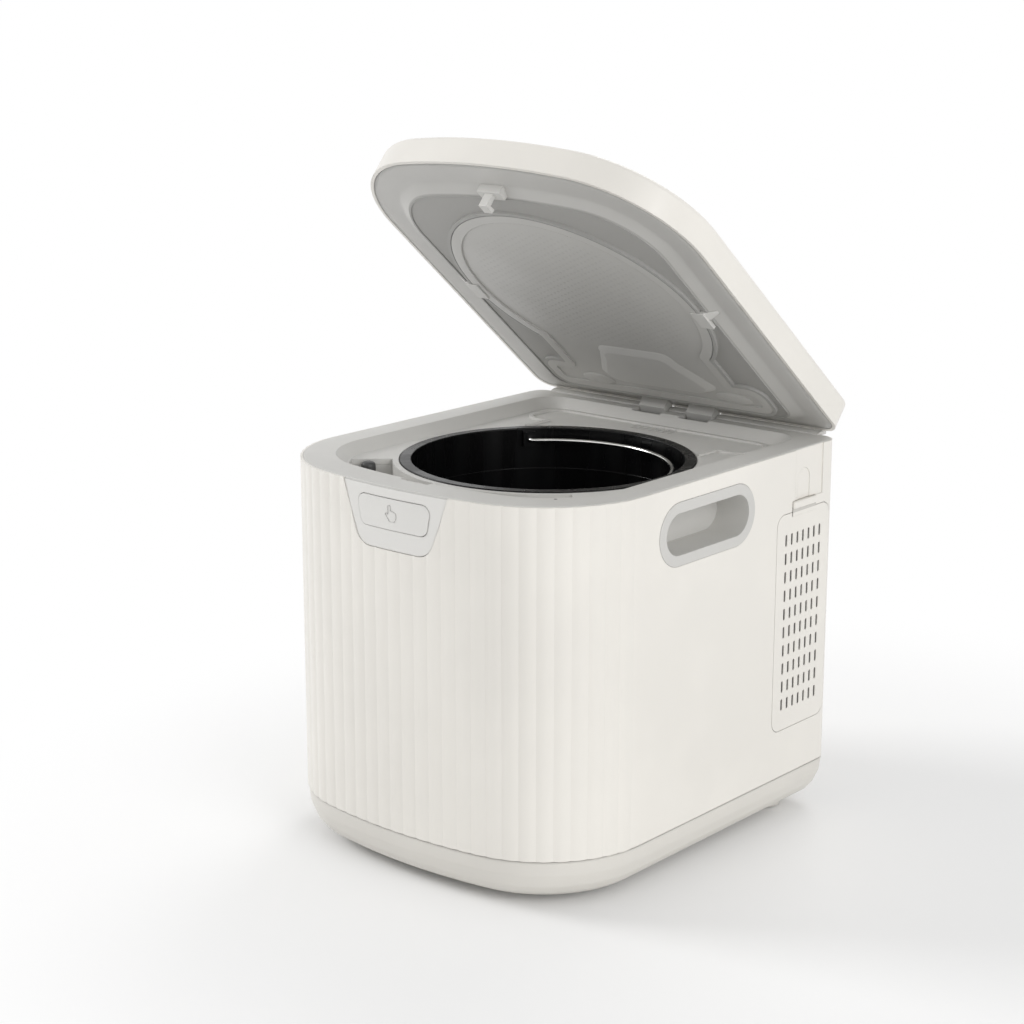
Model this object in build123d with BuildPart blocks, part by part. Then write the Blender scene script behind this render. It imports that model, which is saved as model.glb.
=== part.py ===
from build123d import *

import os
from math import acos, asin, atan2, cos, degrees, pi, radians, sin, sqrt, tan

# An electric food waste composter for a worktop: a fluted body with a grey deck, a bucket that
# lifts out, a rear-hinged lid with a push-button latch, and a carbon filter drawer in the side.
# Millimetres, +Z up, front towards -Y. Z = 0 is the surface that the feet stand on, X = 0 the
# middle, and Y = 0 the middle of the footprint with the lid standing open.

# ---- driving dimensions: body -------------------------------------------------------------
BODY_W = 280.0
BODY_D = 320.0
BODY_H = 242.0
BACK_Y = 154.0
CORNER_R = 85.0
FRONT_R = 400.0
BACK_R = 12.0
WALL = 2.6
FLUTES = 31
FLUTE_RISE = 0.7
FLUTE_END = 7.0
SEAM = 0.5
SKIRT_H = 30.0
SKIRT_INSET = 20.0
SKIRT_WALL = 3.0
SKIRT_LIP = 4.0
FOOT_H = 6.0
FOOT_R = 11.0
FOOT_STEM_R = 4.0
FOOT_SIDE_IN = 45.0
FOOT_FRONT_IN = 70.0
FOOT_REAR_IN = 38.0

# ---- deck ---------------------------------------------------------------------------------
DECK_T = 3.0
DECK_RIM = 1.2
DECK_FIT = 0.1
BAND = 22.0
BAND_FRONT = 25.0
RECESS_DEEP = 8.0
RECESS_BACK = 15.0
RECESS_CORNER_R = 20.0
BASIN_T = 4.4
POCKET_DEEP = 14.0
POCKET_FLOOR_T = 2.5
POCKET_START = 222.0
POCKET_WALL = 2.5
COLLAR_W = 5.0
SEAL_RIDGE_H = 1.5
SEAL_RIDGE_W = 3.2
VENT_COUNT = 7
VENT_PITCH = 5.5
VENT_W = 2.5
VENT_L = 12.0

# ---- bib, release button and latch --------------------------------------------------------
BIB_TOP = 47.0
BIB_BOTTOM = 31.0
BIB_H = 43.0
BIB_R = 14.0
BIB_T = 3.0
BIB_GAP = 0.3
BUTTON_TOP = 33.0
BUTTON_BOTTOM = 29.0
BUTTON_H = 21.0
BUTTON_DROP = 8.0
BUTTON_R = 6.0
BUTTON_T = 3.0
BUTTON_PROUD = 0.4
BUTTON_GAP = 0.4
BUTTON_TRAVEL = 3.0
CUP_DEEP = 15.0
CUP_WALL = 2.0
SPRING_R = 3.0
SPRING_WIRE = 0.35
SPRING_TURNS = 5
SPRING_X = 21.0
SPRING_DROP = 19.0
LATCH_W = 16.0
LATCH_T = 2.5
LATCH_DROP = 10.0
LATCH_PAD_RISE = 1.5
HOOK_W = 7.0
HOOK_T = 3.5
HOOK_IN = 27.0
HOOK_NOSE = 4.8
HOOK_NOSE_H = 3.0
HOOK_GAP = 0.5
HOOK_BASE_W = 20.0
HOOK_BASE_D = 16.0
HOOK_BASE_H = 6.5
SLOT_W = 25.0
SLOT_AHEAD = 6.0
SLOT_BEHIND = 12.0
SENSOR_R = 5.2
SENSOR_H = 13.5
SENSOR_ANGLE = 224.6
SENSOR_ROOM = 22.0

# ---- side handles, filter drawer and its latch --------------------------------------------
HANDLE_L = 109.5
HANDLE_H = 44.0
HANDLE_DROP = 33.5
HANDLE_RING = 7.5
HANDLE_ROOM = 4.6
HANDLE_WALL = 2.0
HANDLE_PROUD = 0.4
HANDLE_FIT = 0.2
BAY_W = 66.0
BAY_H = 161.0
BAY_IN = 42.8
BAY_DROP = 125.4
BAY_R = 9.0
BAY_GAP = 0.4
COVER_T = 2.4
SLOT_COLUMNS = 7
SLOT_ROWS = 10
SLOT_PITCH_Y = 7.1
SLOT_PITCH_Z = 13.6
VENT_SLOT_L = 8.6
VENT_SLOT_W = 2.3
TRAY_DEEP = 44.0
TRAY_WALL = 1.6
TRAY_GAP = 0.8
TRAY_RAIL = 3.0
CARBON_GAP = 0.4
HOUSING_WALL = 1.8
HOUSING_GAP = 0.6
TRAY_R = 6.0
TAB_W = 28.5
TAB_H = 7.5
TAB_T = 3.0
TAB_PROUD = 0.8
TAB_TRAVEL = 2.5
TAB_GAP = 0.4
SCOOP_W = 15.0
SCOOP_H = 15.0
SCOOP_DEEP = 1.4
CHANNEL_W = 35.0
CHANNEL_SHIFT = 5.8
CHANNEL_DEEP = 0.9

# ---- lid and hinge ------------------------------------------------------------------------
LID_H = 21.7
LID_GAP = 0.5
LID_WALL = 2.5
LID_BACK = 5.0
LID_BACK_R = 14.0
LID_EDGE_R = 3.5
LID_REST = 40.0
LINER_FIT = 0.2
LINER_T = 2.0
FIELD_DROP = 4.0
FIELD_EDGE = 0.5
FIELD_SLOPE = 66.0
FIELD_BEAD_W = 1.6
FIELD_BEAD_H = 0.7
COVER_IN = 4.0
COVER_SHIFT = 6.5
NECK_IN = 24.0
RIDGE_START = 48.5
WING_IN = 40.0
WING_D = 34.0
WING_R = 12.0
WING_BACK_IN = 29.5
COVER_H = 2.2
COVER_DISH = 1.3
COVER_RIM = 8.0
HOOD_W = 50.0
HOOD_D = 42.0
HOOD_H = 2.5
HOOD_IN = 70.0
GASKET_W = 3.0
GASKET_H = 2.2
GASKET_GAP = 0.2
CLIP_W = 3.0
CLIP_L = 18.0
CLIP_SHIFT = 1.5
CLIP_REACH = 4.5
CLIP_T = 0.9
CLIP_STEP = 0.1
HINGE_BACK = 1.5
HINGE_DROP = 10.0
PIN_R = 2.5
PIN_FIT = 0.05
BARREL_R = 5.5
ARM_IN = 10.0
ARM_OUT = 34.0
EAR_GAP = 1.4
EAR_T = 5.5
EAR_R = 6.0
ARM_ROOM = 1.5
WASHER_T = 1.2
BRACKET_T = 3.5
BRACKET_H = 26.0
PANEL_W = 92.0
PANEL_D = 34.0
PANEL_R = 8.0
PANEL_T = 1.2
PANEL_IN = 54.0
BOARD_T = 1.6

# ---- bucket, bail and agitator ------------------------------------------------------------
SIDE_ROOM = 35.0
FRONT_ROOM = 55.5
REAR_ROOM = 54.5
RIM_W = 8.0
RIM_T = 2.4
RIM_DROP = 7.3
BUCKET_WALL = 2.0
BUCKET_FLOOR_T = 3.0
BUCKET_ROOM = 11.2
BUCKET_EDGE_R = 12.0
SEAT_GAP = 0.2
BAIL_IN = 9.0
BAIL_WIRE_R = 1.5
BAIL_BEND_R = 3.0
BAIL_DROP = 15.0
BAIL_ANGLE = 138.0
BAIL_FIT = 0.08
EAR_W = 9.0
EAR_H = 11.0
EAR_D = 4.6
SHAFT_R = 6.0
SHAFT_FIT = 0.05
BUSH_R = 11.0
BUSH_FLANGE_R = 15.0
BUSH_FLANGE_T = 2.0
HUB_R = 14.0
HUB_H = 34.0
ARM_LOW_IN = 10.0
ARM_HIGH_IN = 25.0
ARM_H = 9.0
ARM_T = 8.0
ARM_LOW_Z = 2.5
ARM_HIGH_Z = 22.0
CUTTER_H = 6.0
CUTTER_T = 8.0
CUTTER_L = 53.0
CUTTER_Z = 14.0

# ---- chamber and drive --------------------------------------------------------------------
LINER_ROOM = 4.5
LINER_WALL = 1.5
CHAMBER_FLOOR_Z = 75.5
JACKET_T = 3.6
JACKET_LOW = 10.0
JACKET_TOP = 28.6
HEATER_IN = 9.0
HEATER_HOLE_R = 18.0
HEATER_GAP = 0.3
DOG_ACROSS = 9.0
DOG_H = 6.0
DOG_CHAMFER = 1.0
DOG_GAP = 0.4
SOCKET_R = 10.0
DRIVE_R = 5.0
GEAR_MODULE = 1.5
PINION_TEETH = 14
GEAR_TEETH = 42
GEAR_FACE = 9.0
BACKLASH = 0.18
ADDENDUM = 0.8
DEDENDUM = 1.05
PRESSURE_ANGLE = 20.0
GEAR_Z = 57.0
CASE_WALL = 2.5
CASE_ROOM = 2.5
BEARING_R = 9.0
BEARING_H = 5.0
MOTOR_R = 28.0
MOTOR_NECK = 4.0
MOTOR_SHAFT_R = 3.0
POST_R = 4.0
CHASSIS_Z = 20.0
CHASSIS_T = 2.0
CHASSIS_INSET = 26.0

# ---- fan, ducts and electrics -------------------------------------------------------------
FAN_SIZE = 40.0
FAN_H = 20.0
FAN_IN = 29.2
FAN_DROP = 52.0
FAN_BORE_R = 18.5
FAN_HUB_R = 8.0
FAN_TIP_R = 17.6
FAN_BLADES = 7
FAN_BLADE_W = 11.0
FAN_BLADE_T = 1.2
FAN_PITCH = 35.0
FAN_EDGE_R = 3.0
FAN_STRUT_W = 3.0
FAN_STRUT_T = 2.0
FAN_SEAT_T = 3.0
FAN_PIN_H = 5.0
FAN_RUN_GAP = 1.0
DUCT_WALL = 1.6
DUCT_H = 34.0
BOARD_IN = 48.0
POWER_BOARD_W = 66.0
POWER_BOARD_H = 120.0
POWER_BOARD_Z = 105.0
STANDOFF = 8.0
BOARD_EDGE = 7.0
TRANSFORMER = (28.0, 30.0, 18.0)
RELAY = (16.0, 18.0, 14.0)
HEATSINK = (42.0, 6.0, 10.0)
HEATSINK_DROP = 30.0
CAPACITOR_R = 6.0
CAPACITOR_L = 18.0
CAPACITOR_PITCH = 18.0
INLET_IN = 52.0
INLET_Z = 62.0
INLET_W = 27.0
INLET_H = 19.5
INLET_FLANGE_W = 46.0
INLET_FLANGE_H = 27.0
INLET_DEEP = 18.0
INLET_WALL = 2.0
BLADE_W = 4.0
BLADE_T = 2.0
BLADE_PITCH = 7.0
SCREW_R = 1.6
SCREW_HEAD_R = 3.2
SCREW_HEAD_T = 1.8
SCREW_L = 8.0

# ---- levels and places that follow --------------------------------------------------------
FRONT_Y = BACK_Y - BODY_D
SIDE_X = BODY_W / 2
SEAM_Z = FOOT_H + SKIRT_H
DECK_Z = SEAM_Z + BODY_H
DECK_LOW_Z = DECK_Z - DECK_T
FLOOR_Z = DECK_Z - RECESS_DEEP
BASIN_Z = FLOOR_Z - BASIN_T
POCKET_Z = FLOOR_Z - POCKET_DEEP
RIM_R = min(SIDE_X - SIDE_ROOM, (BODY_D - FRONT_ROOM - REAR_ROOM) / 2)
BUCKET_R = RIM_R - RIM_W
BUCKET_Y = FRONT_Y + FRONT_ROOM + RIM_R
RIM_TOP_Z = DECK_Z - RIM_DROP
RIM_LOW_Z = RIM_TOP_Z - RIM_T
BUCKET_LOW_Z = CHAMBER_FLOOR_Z + BUCKET_ROOM
BUCKET_IN_Z = BUCKET_LOW_Z + BUCKET_FLOOR_T
COLLAR_R = RIM_R + COLLAR_W
COVER_R = RIM_R - COVER_IN
COVER_Y = BUCKET_Y - COVER_SHIFT
WING_BACK = BACK_Y - WING_BACK_IN
LINER_R = BUCKET_R + LINER_ROOM
JACKET_R = LINER_R + LINER_WALL + SEAT_GAP
HEATER_R = BUCKET_R - HEATER_IN
HINGE_Y = BACK_Y + HINGE_BACK
HINGE_Z = DECK_Z - HINGE_DROP
LID_LOW_Z = DECK_Z + LID_GAP
LID_TOP_Z = LID_LOW_Z + LID_H
FIELD_Z = LID_LOW_Z + LINER_FIT - FIELD_DROP
COVER_LOW_Z = FIELD_Z - COVER_H
HANDLE_Z = DECK_Z - HANDLE_DROP
HANDLE_DEEP = SIDE_X + HANDLE_PROUD - HANDLE_WALL - HANDLE_ROOM - JACKET_R - JACKET_T
BAY_Y = BACK_Y - BAY_IN
BAY_Z = DECK_Z - BAY_DROP
BAY_TOP_Z = BAY_Z + BAY_H / 2
INNER_X = SIDE_X - WALL
INNER_BACK_Y = BACK_Y - WALL
CAP_X = SIDE_X - BACK_R - 2
LATCH_Z = DECK_Z - LATCH_DROP
HOOK_Y = FRONT_Y + HOOK_IN
SLOT_FRONT = HOOK_Y - SLOT_AHEAD
SLOT_BACK = HOOK_Y + SLOT_BEHIND
FIELD_BACK_Y = BACK_Y - RECESS_BACK + FIELD_EDGE
FIELD_RUN = FIELD_DROP * tan(radians(FIELD_SLOPE))
FAN_Y = BACK_Y - FAN_IN
FAN_Z = DECK_Z - FAN_DROP
POWER_BOARD_X = BOARD_IN - SIDE_X
INLET_X = INLET_IN - SIDE_X
GEAR_TOP_Z = GEAR_Z + GEAR_FACE
PINION_R = GEAR_MODULE * PINION_TEETH / 2
WHEEL_R = GEAR_MODULE * GEAR_TEETH / 2
GEAR_CENTRES = PINION_R + WHEEL_R
CASE_LOW_Z = GEAR_Z - CASE_ROOM - CASE_WALL
CASE_TOP_Z = GEAR_TOP_Z + CASE_ROOM
CHASSIS_TOP_Z = CHASSIS_Z + CHASSIS_T
SKIRT_FLOOR_Z = FOOT_H + SKIRT_WALL
DRIVE = (0.0, BUCKET_Y)
PINION = (GEAR_CENTRES, BUCKET_Y)
HOUSING_DEEP = TRAY_DEEP + COVER_T + 3.0
HOUSING_X = SIDE_X - HOUSING_DEEP

os.makedirs("parts", exist_ok=True)


# ---- helpers ------------------------------------------------------------------------------
def turn(angle, radius, centre=(0.0, 0.0)):
    """The point at an angle in degrees on a circle about a centre."""
    return centre[0] + radius * cos(radians(angle)), centre[1] + radius * sin(radians(angle))


def block(low, high, mode=Mode.ADD):
    """A box between two opposite corners, joined to the part that is being built."""
    size = [b - a for a, b in zip(low, high)]
    middle = [(a + b) / 2 for a, b in zip(low, high)]
    with Locations(tuple(middle)):
        return Box(*size, mode=mode)


def rod(point, low, high, radius, mode=Mode.ADD):
    """An upright cylinder at a point in plan, between two heights."""
    with Locations((point[0], point[1], (low + high) / 2)):
        return Cylinder(radius, high - low, mode=mode)


def keep(piece, name):
    """Labels a finished piece and writes its file."""
    piece.part.label = name
    export_step(piece.part, f"parts/{name}.step")


CORNER_X = SIDE_X - CORNER_R
FRONT_CENTRE_Y = FRONT_Y + FRONT_R
CORNER_Y = FRONT_CENTRE_Y - sqrt((FRONT_R - CORNER_R) ** 2 - CORNER_X**2)
CORNER_TURN = degrees(atan2(FRONT_CENTRE_Y - CORNER_Y, CORNER_X))
FRONT_TURN = 90.0 - CORNER_TURN
FRONT_LENGTH = radians(FRONT_TURN) * FRONT_R
FLUTED_LENGTH = FRONT_LENGTH + radians(CORNER_TURN - FLUTE_END) * CORNER_R


def plan(inset, back=None, front=None, back_r=None):
    """The body's outline in plan, moved inwards: straight sides, wide front corners, bowed front."""
    back = BACK_Y - inset if back is None else back
    nudge = 0.0 if front is None else front - inset
    radius = max(BACK_R - inset, SKIRT_WALL) if back_r is None else back_r
    side = SIDE_X - inset
    with BuildSketch() as outline:
        with BuildLine():
            right = Line((side, back), (side, CORNER_Y + nudge))
            corner = CenterArc((CORNER_X, CORNER_Y + nudge), CORNER_R - inset, 0, -CORNER_TURN)
            bow = CenterArc((0, FRONT_CENTRE_Y + nudge), FRONT_R - inset, -CORNER_TURN, -2 * FRONT_TURN)
            far_at = (-CORNER_X, CORNER_Y + nudge)
            far = CenterArc(far_at, CORNER_R - inset, 180 + CORNER_TURN, -CORNER_TURN)
            left = Line((-side, CORNER_Y + nudge), (-side, back))
            Line((-side, back), (side, back))
        make_face()
        corners = outline.vertices().group_by(Axis.Y)[-1]
        fillet(corners, radius)
    return outline.sketch


def front_point(along, out=0.0):
    """A point on the front and corner curve, by its distance along the curve from the middle."""
    reach = min(abs(along), FRONT_LENGTH)
    side = 1 if along >= 0 else -1
    if abs(along) <= FRONT_LENGTH:
        x, y = turn(-90 + degrees(reach / FRONT_R), FRONT_R + out, (0, FRONT_CENTRE_Y))
    else:
        angle = -CORNER_TURN + degrees((abs(along) - FRONT_LENGTH) / CORNER_R)
        x, y = turn(angle, CORNER_R + out, (CORNER_X, CORNER_Y))
    return side * x, y


def fluted_plan():
    """The outline with shallow pleats along its front and corners."""
    pitch = 2 * FLUTED_LENGTH / FLUTES
    grooves = [front_point(-FLUTED_LENGTH + pitch * i) for i in range(FLUTES + 1)]
    crests = [front_point(-FLUTED_LENGTH + pitch * (i + 0.5), FLUTE_RISE) for i in range(FLUTES)]
    with BuildSketch() as outline:
        with BuildLine():
            for start, crest, end in zip(grooves, crests, grooves[1:]):
                ThreePointArc(start, crest, end)
            CenterArc((CORNER_X, CORNER_Y), CORNER_R, -FLUTE_END, FLUTE_END)
            Line((SIDE_X, CORNER_Y), (SIDE_X, BACK_Y))
            Line((SIDE_X, BACK_Y), (-SIDE_X, BACK_Y))
            Line((-SIDE_X, BACK_Y), (-SIDE_X, CORNER_Y))
            CenterArc((-CORNER_X, CORNER_Y), CORNER_R, 180, FLUTE_END)
        make_face()
        fillet(outline.vertices().group_by(Axis.Y)[-1], BACK_R)
    return outline.sketch


def tapered(top_half, bottom_half, height, radius, grow=0.0, top_radius=None):
    """A trapezium that hangs from Z = 0 by its wide top, with rounded corners."""
    with BuildSketch() as shape:
        with BuildLine():
            Polyline(
                (-top_half - grow, grow),
                (top_half + grow, grow),
                (bottom_half + grow, -height - grow),
                (-bottom_half - grow, -height - grow),
                close=True,
            )
        make_face()
        fillet(shape.vertices().group_by(Axis.Y)[0], radius + grow)
        if top_radius:
            fillet(shape.vertices().group_by(Axis.Y)[-1], top_radius + grow)
    return shape.sketch


def front_plane(height):
    """An upright plane behind the front wall, facing the front, with its origin at a height."""
    return Plane(origin=(0, FRONT_Y + BAND_FRONT, height), x_dir=(1, 0, 0), z_dir=(0, -1, 0))


def recess_plan(inset):
    """The dished part of the deck, moved inwards from the body's outline."""
    step = inset - BAND
    return plan(inset, BACK_Y - RECESS_BACK - step, BAND_FRONT + step, max(RECESS_CORNER_R - step, 1))


def cover_plan(grow=0.0):
    """The inner cover of the lid: round over the bucket, a neck, and wings over the rear vents."""
    with BuildSketch() as outline:
        with Locations((0, COVER_Y)):
            Circle(COVER_R)
        with Locations((0, (COVER_Y + WING_BACK - WING_D / 2) / 2)):
            Rectangle(2 * (COVER_R - NECK_IN), WING_BACK - WING_D / 2 - COVER_Y)
        with Locations((0, WING_BACK - WING_D / 2)):
            RectangleRounded(2 * (SIDE_X - WING_IN), WING_D, WING_R)
        if grow:
            offset(amount=grow)
    return outline.sketch


def gear(teeth, turned=0.0):
    """A spur gear's outline with involute flanks, thinned for backlash."""
    pitch_r = GEAR_MODULE * teeth / 2
    base_r = pitch_r * cos(radians(PRESSURE_ANGLE))
    tip_r = pitch_r + ADDENDUM * GEAR_MODULE
    root_r = pitch_r - DEDENDUM * GEAR_MODULE
    flank_turn = tan(radians(PRESSURE_ANGLE)) - radians(PRESSURE_ANGLE)
    half = pi / (2 * teeth) - BACKLASH / (2 * pitch_r) + flank_turn
    steps = 5
    start_r = max(base_r, root_r)
    flank = []
    for i in range(steps + 1):
        r = start_r + (tip_r - start_r) * i / steps
        roll = acos(base_r / r)
        flank.append((r, half - (tan(roll) - roll)))
    points = []
    for tooth in range(teeth):
        middle = 2 * pi * tooth / teeth + radians(turned)
        right = [(r, middle - a) for r, a in flank]
        left = [(r, middle + a) for r, a in reversed(flank)]
        if root_r < start_r:
            right = [(root_r, right[0][1])] + right
            left = left + [(root_r, left[-1][1])]
        points += [(r * cos(a), r * sin(a)) for r, a in right + left]
    with BuildSketch() as outline:
        with BuildLine():
            Polyline(*points, close=True)
        make_face()
    return outline.sketch


def skirt_levels(inside):
    """Heights and insets of the skirt's rounded side, from the bottom up."""
    low = SKIRT_FLOOR_Z if inside else FOOT_H
    wall = SKIRT_WALL if inside else 0.0
    levels = []
    for share in (0.0, 0.05, 0.15, 0.35, 0.65, 1.0):
        z = low + (SEAM_Z - low) * share
        climb = 1 - (z - FOOT_H) / SKIRT_H
        levels.append((z, SKIRT_INSET * (1 - sqrt(max(1 - climb**2, 0))) + wall))
    return levels


# ---- base: skirt, feet, chassis -----------------------------------------------------------
foot_x = SIDE_X - FOOT_SIDE_IN
feet_at = [(x, y) for x in (-foot_x, foot_x) for y in (FRONT_Y + FOOT_FRONT_IN, BACK_Y - FOOT_REAR_IN)]
post_at = [turn(a, HEATER_R - POST_R, DRIVE) for a in (45, 135, 225, 315)]
case_post_at = [
    (x, BUCKET_Y + s * (WHEEL_R - POST_R)) for x in (-WHEEL_R / 2, WHEEL_R / 2) for s in (-1, 1)
]

with BuildPart() as skirt_outside:
    for z, inset in skirt_levels(False):
        with BuildSketch(Plane.XY.offset(z)):
            add(plan(inset, back_r=BACK_R - inset / 2))
    loft(ruled=True)
    with BuildSketch(Plane.XY.offset(SEAM_Z)):
        add(plan(WALL + DECK_FIT))
    extrude(amount=SKIRT_LIP)
with BuildPart() as skirt_hollow:
    for z, inset in skirt_levels(True):
        with BuildSketch(Plane.XY.offset(z)):
            add(plan(inset, back_r=max(BACK_R - inset / 2, 1)))
    loft(ruled=True)
    with BuildSketch(Plane.XY.offset(SEAM_Z)):
        add(plan(WALL + DECK_FIT + CUP_WALL))
    extrude(amount=SKIRT_LIP)
with BuildPart() as base_skirt:
    add(skirt_outside.part)
    add(skirt_hollow.part, mode=Mode.SUBTRACT)
    for point in post_at:
        rod(point, SKIRT_FLOOR_Z, CHASSIS_Z, POST_R)
    for point in feet_at:
        rod(point, FOOT_H, SKIRT_FLOOR_Z, FOOT_STEM_R + SHAFT_FIT, Mode.SUBTRACT)
keep(base_skirt, "base_skirt")

with BuildPart() as feet:
    for point in feet_at:
        rod(point, 0, FOOT_H, FOOT_R)
        rod(point, FOOT_H, SKIRT_FLOOR_Z, FOOT_STEM_R)
    chamfer(feet.edges().group_by(Axis.Z)[0], 1.0)
keep(feet, "feet")

with BuildPart() as chassis_plate:
    with BuildSketch(Plane.XY.offset(CHASSIS_Z)):
        add(plan(CHASSIS_INSET, back_r=BACK_R))
    extrude(amount=CHASSIS_T)
keep(chassis_plate, "chassis_plate")

with BuildPart() as support_posts:
    for point in post_at:
        rod(point, CHASSIS_TOP_Z, CHAMBER_FLOOR_Z, POST_R)
    for point in case_post_at:
        rod(point, CHASSIS_TOP_Z, CASE_LOW_Z, POST_R)
keep(support_posts, "support_posts")

# ---- outer shells -------------------------------------------------------------------------
with BuildPart() as front_shell:
    with BuildSketch(Plane.XY.offset(SEAM_Z + SEAM)):
        add(fluted_plan())
        add(plan(WALL), mode=Mode.SUBTRACT)
    extrude(amount=BODY_H - 2 * SEAM)
    with BuildSketch(Plane.XY.offset(DECK_LOW_Z)):
        add(plan(DECK_RIM))
    extrude(amount=DECK_T, mode=Mode.SUBTRACT)
    block((-CAP_X, INNER_BACK_Y - WALL, SEAM_Z), (CAP_X, BACK_Y + WALL, DECK_Z), Mode.SUBTRACT)
    with BuildSketch(Plane.YZ):
        with Locations((BUCKET_Y, HANDLE_Z)):
            SlotOverall(HANDLE_L + 2 * HANDLE_FIT, HANDLE_H + 2 * HANDLE_FIT)
    extrude(amount=BODY_W, both=True, mode=Mode.SUBTRACT)
    with BuildSketch(Plane.YZ.offset(INNER_X - WALL)):
        with Locations((BAY_Y, BAY_Z)):
            RectangleRounded(BAY_W + 2 * BAY_GAP, BAY_H + 2 * BAY_GAP, BAY_R)
        with Locations((BAY_Y, BAY_TOP_Z + TAB_H / 2)):
            Rectangle(TAB_W + 2 * TAB_GAP, TAB_H + 2 * TAB_GAP)
    extrude(amount=3 * WALL, mode=Mode.SUBTRACT)
    with BuildSketch(Plane.YZ.offset(SIDE_X - SCOOP_DEEP)):
        with Locations((BAY_Y, BAY_TOP_Z + TAB_H + SCOOP_H / 2)):
            Rectangle(SCOOP_W, SCOOP_H)
        with Locations((BAY_Y, BAY_TOP_Z + TAB_H + SCOOP_H)):
            Circle(SCOOP_W / 2)
    extrude(amount=WALL, mode=Mode.SUBTRACT)
    with BuildSketch(Plane.YZ.offset(SIDE_X - CHANNEL_DEEP)):
        with Locations((BAY_Y + CHANNEL_SHIFT, (BAY_TOP_Z + TAB_H + DECK_Z) / 2)):
            Rectangle(CHANNEL_W, DECK_Z - BAY_TOP_Z - TAB_H)
    extrude(amount=WALL, mode=Mode.SUBTRACT)
    with BuildSketch(front_plane(DECK_Z)):
        add(tapered(BIB_TOP, BIB_BOTTOM, BIB_H, BIB_R, BIB_GAP))
    extrude(amount=2 * BAND_FRONT, mode=Mode.SUBTRACT)
keep(front_shell, "front_shell")

# ---- hinge places that the deck, the rear panel and the bracket share ----------------------
arm_slots = [(side * (ARM_IN - ARM_ROOM), side * (ARM_OUT + ARM_ROOM)) for side in (-1, 1)]
EAR_OUT_X = ARM_OUT + EAR_GAP + EAR_T
rear_screw_at = [
    (x, z)
    for x in (-CAP_X + 8, CAP_X - 8)
    for z in (SEAM_Z + 12, (SEAM_Z + DECK_Z) / 2, DECK_Z - 26)
]

with BuildPart() as rear_panel:
    block((-CAP_X + DECK_FIT, INNER_BACK_Y, SEAM_Z + SEAM), (CAP_X - DECK_FIT, BACK_Y, DECK_LOW_Z))
    block((-CAP_X + DECK_FIT, BACK_Y - DECK_RIM, DECK_LOW_Z), (CAP_X - DECK_FIT, BACK_Y, DECK_Z - SEAM))
    block(
        (-EAR_OUT_X - 1, INNER_BACK_Y - 1, HINGE_Z - BARREL_R - 8),
        (EAR_OUT_X + 1, BACK_Y + 1, DECK_Z),
        Mode.SUBTRACT,
    )
    with BuildSketch(Plane.XZ.offset(-BACK_Y)):
        with Locations((INLET_X, INLET_Z)):
            RectangleRounded(INLET_W + 2 * (INLET_WALL + TAB_GAP), INLET_H + 2 * (INLET_WALL + TAB_GAP), 3)
        with Locations((POWER_BOARD_X, POWER_BOARD_Z + POWER_BOARD_H * 0.75)):
            with GridLocations(2 * VENT_PITCH, 1, 6, 1):
                SlotOverall(40, 3, rotation=90)
        with Locations(*rear_screw_at):
            Circle(SCREW_R + DECK_FIT)
    extrude(amount=4 * WALL, both=True, mode=Mode.SUBTRACT)
keep(rear_panel, "rear_panel")

with BuildPart() as rear_screws:
    for x, z in rear_screw_at:
        with Locations(Plane(origin=(x, BACK_Y, z), z_dir=(0, 1, 0))):
            Cylinder(SCREW_HEAD_R, SCREW_HEAD_T, align=(Align.CENTER, Align.CENTER, Align.MIN))
            Cylinder(SCREW_R, SCREW_L, align=(Align.CENTER, Align.CENTER, Align.MAX))
            with Locations((0, 0, SCREW_HEAD_T)):
                Box(4, 0.9, 1.6, mode=Mode.SUBTRACT)
                Box(0.9, 4, 1.6, mode=Mode.SUBTRACT)
keep(rear_screws, "rear_screws")

# ---- deck with its bib --------------------------------------------------------------------
SENSOR_OUT = RIM_R + SENSOR_ROOM
SENSOR_AT = turn(SENSOR_ANGLE, SENSOR_OUT, DRIVE)


def crescent(grow):
    """The latch pocket in front of the bucket: between the collar and the dish's edge."""
    edge = 400.0
    with BuildSketch() as shape:
        add(recess_plan(BAND + RECESS_DEEP + 1 - grow))
        with Locations(DRIVE):
            Circle(COLLAR_R - grow, mode=Mode.SUBTRACT)
        with BuildLine():
            Polyline(
                turn(POCKET_START - degrees(grow / SENSOR_OUT), edge, DRIVE),
                (DRIVE[0], DRIVE[1] - 1),
                turn(180 * 3 - POCKET_START + degrees(grow / SENSOR_OUT), edge, DRIVE),
                (edge, -edge),
                (-edge, -edge),
                close=True,
            )
        make_face(mode=Mode.INTERSECT)
    return shape.sketch


with BuildPart() as bib:
    with BuildSketch(Plane.XY.offset(DECK_Z - BIB_H)):
        add(plan(0))
        add(plan(BIB_T), mode=Mode.SUBTRACT)
    extrude(amount=BIB_H - DECK_RIM)
    with BuildSketch(front_plane(DECK_Z)):
        add(tapered(BIB_TOP, BIB_BOTTOM, BIB_H, BIB_R))
    extrude(amount=2 * BAND_FRONT, mode=Mode.INTERSECT)

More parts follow.
